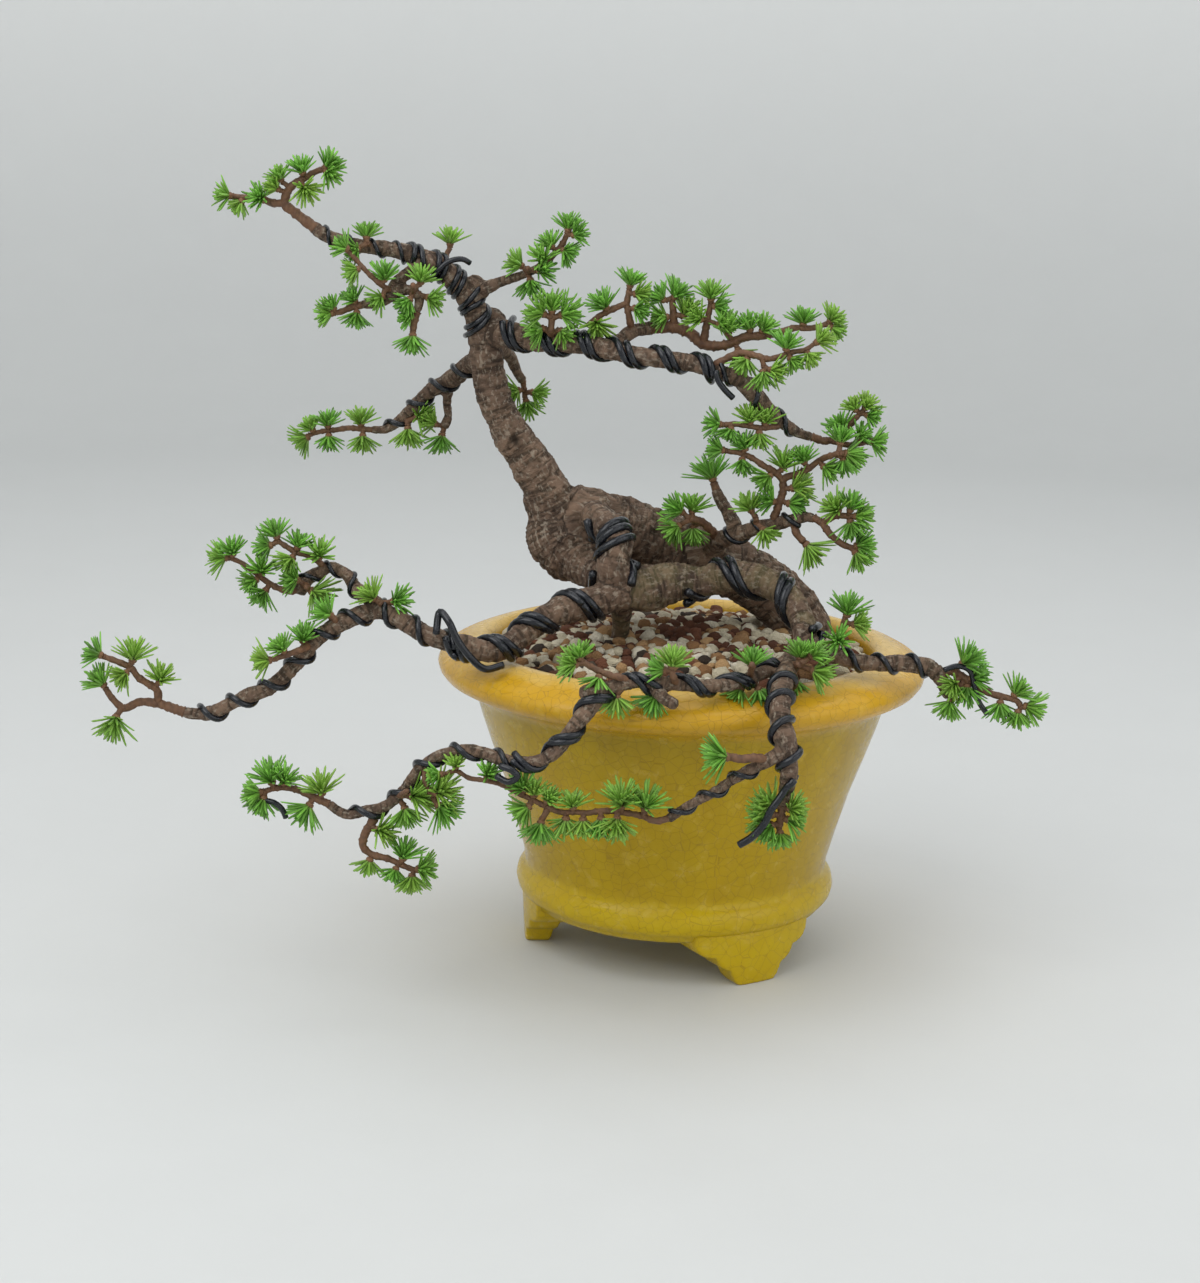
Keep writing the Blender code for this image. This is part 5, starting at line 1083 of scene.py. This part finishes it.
def make_soil(settings, finishes):
    """Make the soil's body with loose grains over its top."""
    heap = Heap()
    top = [(SOIL_EDGE_RADIUS, SOIL_EDGE_HEIGHT - 3.0)]
    top.extend((radius, soil_height(radius) - SOIL_BELOW_GRAINS) for radius in SOIL_TOP_RADII)
    corners, faces = lathe(SOIL_INSIDE + top, SOIL_STEPS, False)
    # The soil's body takes the dark damp finish: damp soil, which also stands in as painted shade in the gaps
    # between the grains.
    heap.add(corners, faces, 3)
    dice = random.Random(23)
    shapes = [grain_shape(1.0, dice) for index in range(GRAIN_SHAPES)]
    for index in range(settings.grains):
        radius = (SOIL_EDGE_RADIUS - 2.6) * math.sqrt((index + 0.5) / settings.grains)
        angle = index * GOLDEN_TURN + dice.uniform(-0.05, 0.05)
        size = settings.smallest + (settings.largest - settings.smallest) * dice.random() ** 1.5
        radius += dice.uniform(-1.6, 1.6)
        height = soil_height(radius) + (dice.uniform(-1.9, 0.5) if index % 2 else dice.uniform(-0.9, 1.3))
        place = AXIS + Vector((radius * math.cos(angle), radius * math.sin(angle), height)) * MM
        turn = Matrix.Rotation(dice.uniform(0.0, 6.28), 3, "X")
        turn = turn @ Matrix.Rotation(dice.uniform(0.0, 6.28), 3, "Z")
        corners, faces = shapes[dice.randrange(len(shapes))]
        finish = dice.choices((0, 1, 2, 3), GRAIN_SHARES)[0]
        tint = (dice.random() ** 2 * 0.8, 0.0, 0.0)
        heap.add([place + turn @ corner * size for corner in corners], faces, finish, [tint] * len(corners))
    return heap.make("soil_and_grains", finishes)


def limb_line(name):
    """Give a limb's smooth middle line and its radii, in metres."""
    route = [(*seen(across, down, depth), radius * MM) for across, down, depth, radius in LIMBS[name]]
    return smooth_line(route, LIMB_SPACING * MM)


def limb_tubes():
    """Give a heap with every limb's tube, and the spots along their middle lines that the bark follows."""
    heap = Heap()
    spots = []
    for number, name in enumerate(LIMBS):
        points, radii = limb_line(name)
        travelled = 0.0
        swollen = []
        for index, (radius, sides) in enumerate(zip(radii, side_frames(points))):
            if index:
                travelled += (points[index] - points[index - 1]).length
            flare = 0.0 if name == "trunk" else FLARE * math.exp(-travelled / (FLARE_REACH * MM))
            lumps = 0.10 * noise.noise(Vector((travelled / (5.5 * MM), number * 7.3, 0.0)))
            lumps += 0.05 * noise.noise(Vector((travelled / (2.2 * MM), number * 3.1, 9.0)))
            swollen.append(radius * (1.0 + flare + lumps))
            spots.append((points[index], number, travelled, radius, *sides))
        heap.add(*sweep(points, swollen, LIMB_SIDES))
    return heap, spots


def bark_at(place, spot):
    """Give the grain's coordinates, the bark's rise in metres and its crease on a limb's surface."""
    middle, number, travelled, radius, direction, side, other = spot
    out = place - middle
    around = math.atan2(out.dot(other), out.dot(side))
    wide = radius / MM
    run = (travelled + out.dot(direction)) / MM
    grain = Vector((math.cos(around) * wide, math.sin(around) * wide, run + number * GRAIN_SHIFT))
    crease_size = 1.5 + 0.18 * wide
    wave = noise.noise(Vector((grain.x * 0.16, grain.y * 0.16, grain.z / crease_size)))
    crease = max(0.0, 1.0 - abs(wave) * 5.0) ** 2
    rough = noise.noise(grain * 0.42)
    flake = noise.noise(Vector((grain.x * 0.7, grain.y * 0.7, grain.z * 0.35)))
    depth = min(1.05, 0.16 + 0.075 * wide) * MM
    return grain, depth * (0.55 * rough + 0.45 * flake - 0.95 * crease), crease


def hump(value, middle, width, power=2):
    """Give a soft hump that is 1 at its middle."""
    return math.exp(-((value - middle) / width) ** power)


def make_wood():
    """Grow all limbs into one body, and give it its bark's creases, knots and grain, with painted shade in
    the creases, the scar's hollow and the knot hole.
    """
    heap, spots = limb_tubes()
    wood = heap.make("larch_wood", [])
    remodel(wood, BARK_VOXEL, 0.5, 2)
    finder = kdtree.KDTree(len(spots))
    for index, spot in enumerate(spots):
        finder.insert(spot[0], index)
    finder.balance()
    tree = tree_of(wood)
    scar, hole = (tree.ray_cast(EYE, seen(*point, 0) - EYE)[0] for point in (SCAR, KNOT_HOLE))
    names = list(LIMBS)
    data = wood.data
    grains = []
    tints = []
    moved = []
    for vert in data.vertices:
        spot = spots[finder.find(vert.co)[1]]
        limb = names[spot[1]]
        grain, rise, crease = bark_at(vert.co, spot)
        healed = 0.0
        # Painted shade: the tint's third part darkens the sunken creases.
        painted_shade = 0.75 * crease
        if limb in ("trunk", "knot"):
            apart = (vert.co - scar).length / (SCAR_RADIUS * MM)
            if apart < 1.5:
                rise += (1.3 * hump(apart, 1.0, 0.2) - 1.2 * hump(apart, 0.0, 0.7, 4)) * MM
                healed = hump(apart, 0.0, 0.78, 6) * 0.75
                # Painted shade in the hollow just inside the scar's raised rim.
                painted_shade += 0.6 * hump(apart, 0.78, 0.10)
            apart = (vert.co - hole).length / (KNOT_HOLE_RADIUS * MM)
            if apart < 1.8:
                rise += (0.7 * hump(apart, 1.0, 0.28) - 2.2 * hump(apart, 0.0, 0.7)) * MM
                # Painted shade down the sunken knot hole.
                painted_shade += 0.9 * hump(apart, 0.0, 0.75, 4)
        moved.extend(vert.co + vert.normal * rise)
        grains.extend(grain)
        green = 0.85 if limb in ("low_arch", "stilt_root") else 0.10
        tints.extend((green, healed, min(1.0, painted_shade), 1.0))
    data.vertices.foreach_set("co", moved)
    data.attributes.new("grain", "FLOAT_VECTOR", "POINT").data.foreach_set("vector", grains)
    data.attributes.new("tint", "FLOAT_COLOR", "POINT").data.foreach_set("color", tints)
    make_smooth(wood)
    data.update()
    return wood


def room(tree, place):
    """Give the distance from a place to a surface, below zero inside it, and the way out."""
    nearest, normal, face, distance = tree.find_nearest(place)
    away = place - nearest
    if away.dot(normal) < 0.0:
        return -distance, normal
    if distance < 1e-9:
        return 0.0, normal
    return distance, away.normalized()


def smooth_places(places, rounds):
    """Even out a route without moving its ends."""
    for turn in range(rounds):
        for index in range(1, len(places) - 1):
            middle = (places[index - 1] + places[index + 1]) / 2.0
            places[index] = places[index].lerp(middle, 0.45)


def hug(places, radius, tree):
    """Let a wound wire lie against the wood without cutting into it."""
    for turn in range(HUG_ROUNDS):
        for index, place in enumerate(places):
            distance, away = room(tree, place)
            if distance < radius:
                places[index] = place + away * (radius - distance) * 0.9
            elif distance < radius * 2.6 and turn > 3:
                places[index] = place - away * (distance - radius * 1.02) * 0.3
        smooth_places(places, 1)
    smooth_places(places, 4)


def coil_places(coil, strand):
    """Give the places of one strand of a coil round its limb."""
    limb, first, last, turns, start, radius = coil[:6]
    points, radii = limb_line(limb)
    frames = side_frames(points)
    steps = [0.0]
    for low, high in zip(points, points[1:]):
        steps.append(steps[-1] + (high - low).length)
    total = steps[-1]
    count = int(turns * WIRE_POINTS_A_TURN)
    advance = (last - first) * total / turns
    spacing = strand * STRAND_SPACING * radius * MM / advance
    places = []
    for step in range(count + 1):
        reach = (first + (last - first) * step / count) * total
        index = min(len(points) - 1, int(numpy.searchsorted(steps, reach)))
        direction, side, other = frames[index]
        around = math.radians(start) + 2.0 * math.pi * (turns * step / count - spacing)
        wobble = 1.0 + 0.05 * noise.noise(Vector((step * 0.11, start, radius)))
        out = (radii[index] + radius * MM * 1.15) * wobble
        places.append(points[index] + (side * math.cos(around) + other * math.sin(around)) * out)
    return places


def make_wire(name, tree, finish):
    """Wind a wire's strands round their limb, and add its free ends."""
    heap = Heap()
    for coil in COILS[name]:
        radius = coil[5] * MM
        for strand in range(coil[6]):
            places = coil_places(coil, strand)
            hug(places, radius, tree)
            heap.add(*sweep(places, [radius] * len(places), WIRE_SIDES))
    for thick, route in FREE_ENDS.get(name, []):
        places = [(*seen(*spot), thick * MM) for spot in route]
        line, radii = smooth_line(places, FREE_END_SPACING * MM)
        for turn in range(FREE_END_ROUNDS):
            for index, place in enumerate(line):
                distance, away = room(tree, place)
                if distance < thick * MM:
                    line[index] = place + away * (thick * MM - distance)
        heap.add(*sweep(line, radii, WIRE_SIDES))
    return heap.make(name.replace("wire_", "training_wire_"), [finish])


def picture_way(angle, lean):
    """Turn a direction on the front view and a lean towards the viewer into a direction in space."""
    across = math.cos(math.radians(angle)) * math.cos(math.radians(lean))
    up = math.sin(math.radians(angle)) * math.cos(math.radians(lean))
    return Vector((across, -math.sin(math.radians(lean)), up)).normalized()


def nearest_limb(across, down):
    """Give the place on the front view and the depth of the limb that passes nearest to a point of it."""
    best = None
    for route in LIMBS.values():
        for (x0, y0, d0, r0), (x1, y1, d1, r1) in zip(route, route[1:]):
            leg = (x1 - x0) ** 2 + (y1 - y0) ** 2
            share = ((across - x0) * (x1 - x0) + (down - y0) * (y1 - y0)) / leg
            share = min(1.0, max(0.0, share))
            x = x0 + (x1 - x0) * share
            y = y0 + (y1 - y0) * share
            apart = math.hypot(across - x, down - y)
            if best is None or apart < best[0]:
                best = (apart, x, y, d0 + (d1 - d0) * share)
    return best[1:]


def nearest_on(lines, place):
    """Give the point of some lines that is nearest to a place."""
    best = None
    for line in lines:
        for low, high in zip(line, line[1:]):
            leg = high - low
            share = min(1.0, max(0.0, (place - low).dot(leg) / leg.length_squared))
            spot = low + leg * share
            if best is None or (spot - place).length < (best - place).length:
                best = spot
    return best


def add_twig(heap, line, radii, dice):
    """Add a young twig with its small rings and knuckles."""
    knuckled = []
    travelled = 0.0
    period = dice.uniform(3.4, 5.2) * MM
    for index, radius in enumerate(radii):
        if index:
            travelled += (line[index] - line[index - 1]).length
        knuckle = max(0.0, math.cos(2.0 * math.pi * travelled / period)) ** 4
        knuckled.append(radius * (0.94 + 0.20 * knuckle + 0.08 * dice.uniform(-1.0, 1.0)))
    corners, faces = sweep(line, knuckled, TWIG_SIDES)
    heap.add(corners, faces, 0, [(0.35 * dice.random(), 0.0, 0.0) for corner in corners])


def add_bud(heap, foot, bud, way, size, dice):
    """Add a scaly short shoot that the tuft stands on, with its stalk down to the twig."""
    wide = BUD_RADIUS * MM * (0.7 + 0.3 * size)
    start = foot.lerp(bud, 0.1)
    line = [start, start.lerp(bud, 0.5), bud - way * 0.9 * MM]
    if (line[2] - line[0]).length > 0.4 * MM:
        corners, faces = sweep(line, [wide * 0.95, wide * 0.72, wide * 0.85], TWIG_SIDES)
        heap.add(corners, faces, 0, [(0.2, 0.0, 0.0)] * len(corners))
    points = [bud + way * height * 0.8 * MM for height, share in BUD_PROFILE]
    radii = [wide * share for height, share in BUD_PROFILE]
    corners, faces = sweep(points, radii, BUD_SIDES, dice.uniform(0.0, 6.0))
    heap.add(corners, faces, 1, [(0.15 + 0.5 * dice.random(), 0.0, 0.0) for corner in corners])


def add_needle(heap, base, heading, outward, length, radius, tone, fresh):
    """Add one curved three-sided needle that bends outwards and tapers to its tip."""
    side = heading.cross(outward).normalized()
    corners = []
    tints = []
    for share, width in NEEDLE_PROFILE:
        middle = base + heading * length * share + outward * length * NEEDLE_BEND * share * share
        tangent = (heading + outward * 0.40 * share).normalized()
        above = tangent.cross(side).normalized()
        for turn in NEEDLE_CORNERS:
            out = side * math.cos(turn) * 1.15 + above * math.sin(turn) * 0.75
            corners.append(middle + out * radius * width)
            tints.append((share, tone, fresh))
    corners.append(base + heading * length + outward * length * NEEDLE_BEND)
    tints.append((1.0, tone, fresh))
    heap.add(corners, NEEDLE_FACES, 2, tints)


def add_tuft(heap, settings, bud, way, size, tree, dice):
    """Add the brush of needles on a short shoot, kept out of the wood."""
    side = way.orthogonal().normalized()
    other = way.cross(side)
    count = int(settings.needles * (0.62 + 0.38 * size) + dice.uniform(-2.0, 3.0))
    fresh = max(0.0, dice.uniform(-0.25, 0.55))
    start = dice.uniform(0.0, 6.28)
    for index in range(count):
        share = (index + 0.5) / count
        rise = math.radians(LOWEST_RISE + (HIGHEST_RISE - LOWEST_RISE) * share) + dice.uniform(-0.14, 0.14)
        around = start + index * GOLDEN_TURN + dice.uniform(-0.25, 0.25)
        outward = side * math.cos(around) + other * math.sin(around)
        heading = (outward * math.cos(rise) + way * math.sin(rise)).normalized()
        length = settings.needle_length * size * dice.uniform(0.74, 1.08) * (1.0 - 0.10 * share)
        base = bud + way * (0.25 + 0.65 * share) * MM + outward * (1.0 - 0.75 * share) * MM
        reached = tree.ray_cast(base, heading, length)[3]
        if reached is not None:
            if reached < SHORTEST_NEEDLE * length:
                continue
            length = reached * 0.92
        tone = min(1.0, max(0.0, dice.gauss(0.5, 0.26)))
        add_needle(heap, base, heading, outward, length, settings.needle_radius, tone, fresh)


def grow_spray(heap, plan, settings, tree, dice):
    """Add one spray's twigs, short shoots and tufts."""
    (start, end), twigs, tufts = plan
    across, down, depth = nearest_limb(*twigs[0][0][:2])
    lines = []
    for number, route in enumerate(twigs):
        places = [seen(x, y, depth + more) for x, y, more in route]
        thick = (start + end) / 2.0 if number else start
        places[0] = nearest_on(lines[:1], places[0]) if number else seen(across, down, depth)
        last = len(places) - 1
        route = [(*place, (thick + (end - thick) * index / last) * MM) for index, place in enumerate(places)]
        line, radii = smooth_line(route, TWIG_SPACING * MM)
        for index in range(4, len(line)):
            distance, away = room(tree, line[index])
            if distance < radii[index]:
                line[index] = line[index] + away * (radii[index] - distance) * min(1.0, (index - 3) / 6.0)
        add_twig(heap, line, radii, dice)
        lines.append(line)
    for across, down, angle, lean, size in tufts:
        way = picture_way(angle, lean)
        guess = nearest_on(lines, seen(across, down, depth))
        bud = seen(across, down, (guess.y - AXIS.y) / MM)
        bud.y -= 2.6 * math.sin(math.radians(lean)) * MM
        for attempt in range(BUD_TRIES):
            distance, away = room(tree, bud)
            if distance >= BUD_RADIUS * MM:
                break
            bud = bud + (way + away * 0.7) * 0.25 * MM
        foot = nearest_on(lines, bud)
        if (bud - foot).length < BUD_RADIUS * MM:
            bud = foot + way * 1.7 * MM
        way = (way + (bud - foot).normalized() * 0.35).normalized()
        way = Vector((way.x, way.y + dice.uniform(-0.18, 0.22), way.z)).normalized()
        add_bud(heap, foot, bud, way, size, dice)
        add_tuft(heap, settings, bud, way, size, tree, dice)


class BONSAI_OT_pot(bpy.types.Operator):
    """Make the glazed pot and its feet, and finish the drainage mesh"""

    bl_idname = "bonsai.pot"
    bl_label = "Glazed pot"

    def execute(self, context):
        finish = glaze_material(context.scene.bonsai_pot)
        heap = Heap()
        heap.add(*lathe(POT_OUTSIDE + POT_INSIDE, POT_STEPS, True))
        bowl = heap.make("glazed_bowl", [])
        weld(bowl)
        for piece in (bowl, make_feet()):
            make_smooth(piece)
            piece.data.materials.clear()
            piece.data.materials.append(finish)
            place_piece(piece, "glaze", "pot")
        plastic = plastic_material()
        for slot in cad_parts["drain_mesh"].material_slots:
            slot.material = plastic
        return {"FINISHED"}


class BONSAI_OT_soil(bpy.types.Operator):
    """Fill the pot with soil and loose grains"""

    bl_idname = "bonsai.soil"
    bl_label = "Soil"

    def execute(self, context):
        settings = context.scene.bonsai_soil
        finishes = [
            grain_material("pumice_grain", settings.pumice_colour, (0.78, 0.72, 0.60), 0.5),
            grain_material("lava_grain", settings.lava_colour, (0.20, 0.08, 0.045), 0.8),
            grain_material("baked_clay_grain", settings.clay_colour, (0.52, 0.33, 0.16), 0.35),
            # Dark damp grains; on the soil's body the same finish is painted shade in the gaps between the
            # grains.
            grain_material("damp_grain_and_gap_shade", (0.045, 0.032, 0.024), (0.10, 0.075, 0.055), 0.6),
        ]
        piece = make_soil(settings, finishes)
        place_piece(piece, "grain", "soil")
        return {"FINISHED"}


class BONSAI_OT_wood(bpy.types.Operator):
    """Grow the trunk and limbs with their bark"""

    bl_idname = "bonsai.wood"
    bl_label = "Wood"

    def execute(self, context):
        wood = make_wood()
        wood.data.materials.append(bark_material(context.scene.bonsai_tree))
        place_piece(wood, "bark", "wood")
        return {"FINISHED"}


class BONSAI_OT_wires(bpy.types.Operator):
    """Wind the training wires round the limbs"""

    bl_idname = "bonsai.wires"
    bl_label = "Training wires"

    def execute(self, context):
        finish = wire_material(context.scene.bonsai_tree)
        tree = tree_of(bpy.data.objects["larch_wood"])
        for name in COILS:
            place_piece(make_wire(name, tree, finish), "anodised", name)
        return {"FINISHED"}


class BONSAI_OT_sprays(bpy.types.Operator):
    """Grow the twigs, short shoots and tufts of needles"""

    bl_idname = "bonsai.sprays"
    bl_label = "Sprays of needles"

    def execute(self, context):
        settings = context.scene.bonsai_tree
        finishes = [
            twig_material("young_twig", settings.twig_colour, (0.33, 0.18, 0.09)),
            twig_material("bud_scales", (0.17, 0.066, 0.030), (0.38, 0.21, 0.10)),
            needle_material(settings),
        ]
        tree = tree_of(bpy.data.objects["larch_wood"])
        for name, plan in SPRAYS.items():
            dice = random.Random(name)
            heap = Heap()
            grow_spray(heap, plan, settings, tree, dice)
            if name in SMALL_SPRAYS:
                grow_spray(heap, SMALL_SPRAYS[name], settings, tree, dice)
            place_piece(heap.make(name.replace("spray_", "needles_"), finishes), "needle", name)
        return {"FINISHED"}


class BONSAI_OT_stage(bpy.types.Operator):
    """Set up the backdrop, the lights and the camera"""

    bl_idname = "bonsai.stage"
    bl_label = "Backdrop, lights and camera"

    def execute(self, context):
        settings = context.scene.bonsai_stage
        add_backdrop(settings.backdrop_colour)
        for name, (place, size, share) in LIGHTS.items():
            add_light(name, place, size, settings.key_power * share)
        world = bpy.data.worlds.new("pale_room")
        world.use_nodes = True
        sky = world.node_tree.nodes["Background"].inputs
        sky["Color"].default_value = PALE_SKY
        sky["Strength"].default_value = SKY_STRENGTH
        context.scene.world = world
        context.scene.view_settings.view_transform = "Standard"
        forward, right, up = eye_axes()
        lens = bpy.data.cameras.new("front_camera")
        lens.sensor_width = 36.0
        lens.lens = EYE_FOCAL / PICTURE_HEIGHT * lens.sensor_width
        camera = bpy.data.objects.new("front_camera", lens)
        camera.matrix_world = Matrix.Translation(EYE) @ Matrix((right, up, -forward)).transposed().to_4x4()
        context.scene.collection.objects.link(camera)
        context.scene.camera = camera
        return {"FINISHED"}


def add_backdrop(tone):
    """Turn the round backdrop, which glows a little above the floor."""
    profile = [(0.0, 0.0), (FLOOR_RADIUS, 0.0)]
    for step in range(1, SWEEP_STEPS + 1):
        turn = math.pi / 2.0 * step / SWEEP_STEPS
        profile.append((FLOOR_RADIUS + SWEEP_RADIUS * math.sin(turn), SWEEP_RADIUS * (1.0 - math.cos(turn))))
    profile.append((FLOOR_RADIUS + SWEEP_RADIUS, BACKDROP_HEIGHT))
    made, tree, shader, place = start_material("backdrop_paper")
    mask, height = mottle(tree, place, 14.0, 1.5)
    base = blend(tree, mask, tone, shade(tone, 1.03))
    rough = scaled(tree, mask, 0.6, 0.75)
    finish_material(tree, shader, base, rough, height, 0.0002, {"Emission Strength": BACKDROP_GLOW})
    climb = between(tree, node(tree, "ShaderNodeSeparateXYZ", {0: place}).outputs[2], 0.0, 0.9)
    tree.links.new(blend(tree, climb, BLACK, tone), shader.inputs["Emission Color"])
    heap = Heap()
    heap.add(*lathe(profile, POT_STEPS, False))
    backdrop = heap.make("backdrop", [made])
    weld(backdrop)


def add_light(name, place, size, power):
    """Hang a soft square light that faces the tree."""
    lamp = bpy.data.lights.new(name, "AREA")
    lamp.shape = "SQUARE"
    lamp.size = size
    lamp.energy = power
    made = bpy.data.objects.new(name, lamp)
    made.location = AXIS + Vector(place)
    made.rotation_euler = (AXIS + AIM - made.location).to_track_quat("-Z", "Y").to_euler()
    bpy.context.scene.collection.objects.link(made)


class BONSAI_PT_panel(bpy.types.Panel):
    """Lists the bonsai's pieces and their settings"""

    bl_idname = "BONSAI_PT_panel"
    bl_label = "Larch bonsai"
    bl_space_type = "VIEW_3D"
    bl_region_type = "UI"
    bl_category = "Bonsai"

    def draw(self, context):
        for step in OPERATORS:
            self.layout.operator(step.bl_idname)
        for owner in SETTINGS:
            group = getattr(context.scene, owner)
            for name in group.bl_rna.properties.keys():
                if name not in ("rna_type", "name"):
                    self.layout.prop(group, name)


OPERATORS = (
    BONSAI_OT_pot, BONSAI_OT_soil, BONSAI_OT_wood, BONSAI_OT_wires, BONSAI_OT_sprays, BONSAI_OT_stage,
)
SETTINGS = {
    "bonsai_pot": PotSettings,
    "bonsai_soil": SoilSettings,
    "bonsai_tree": TreeSettings,
    "bonsai_stage": StageSettings,
}


def register():
    """Register the settings, the operators and the panel."""
    for kind in (*SETTINGS.values(), *OPERATORS, BONSAI_PT_panel):
        bpy.utils.register_class(kind)
    for name, kind in SETTINGS.items():
        setattr(bpy.types.Scene, name, bpy.props.PointerProperty(type=kind))


def unregister():
    """Take the settings, the operators and the panel away again."""
    for name in SETTINGS:
        delattr(bpy.types.Scene, name)
    for kind in reversed((*SETTINGS.values(), *OPERATORS, BONSAI_PT_panel)):
        bpy.utils.unregister_class(kind)


def main():
    """Make every piece in order."""
    register()
    bpy.ops.bonsai.pot()
    bpy.ops.bonsai.soil()
    bpy.ops.bonsai.wood()
    bpy.ops.bonsai.wires()
    bpy.ops.bonsai.sprays()
    bpy.ops.bonsai.stage()


if __name__ == "__main__":
    main()
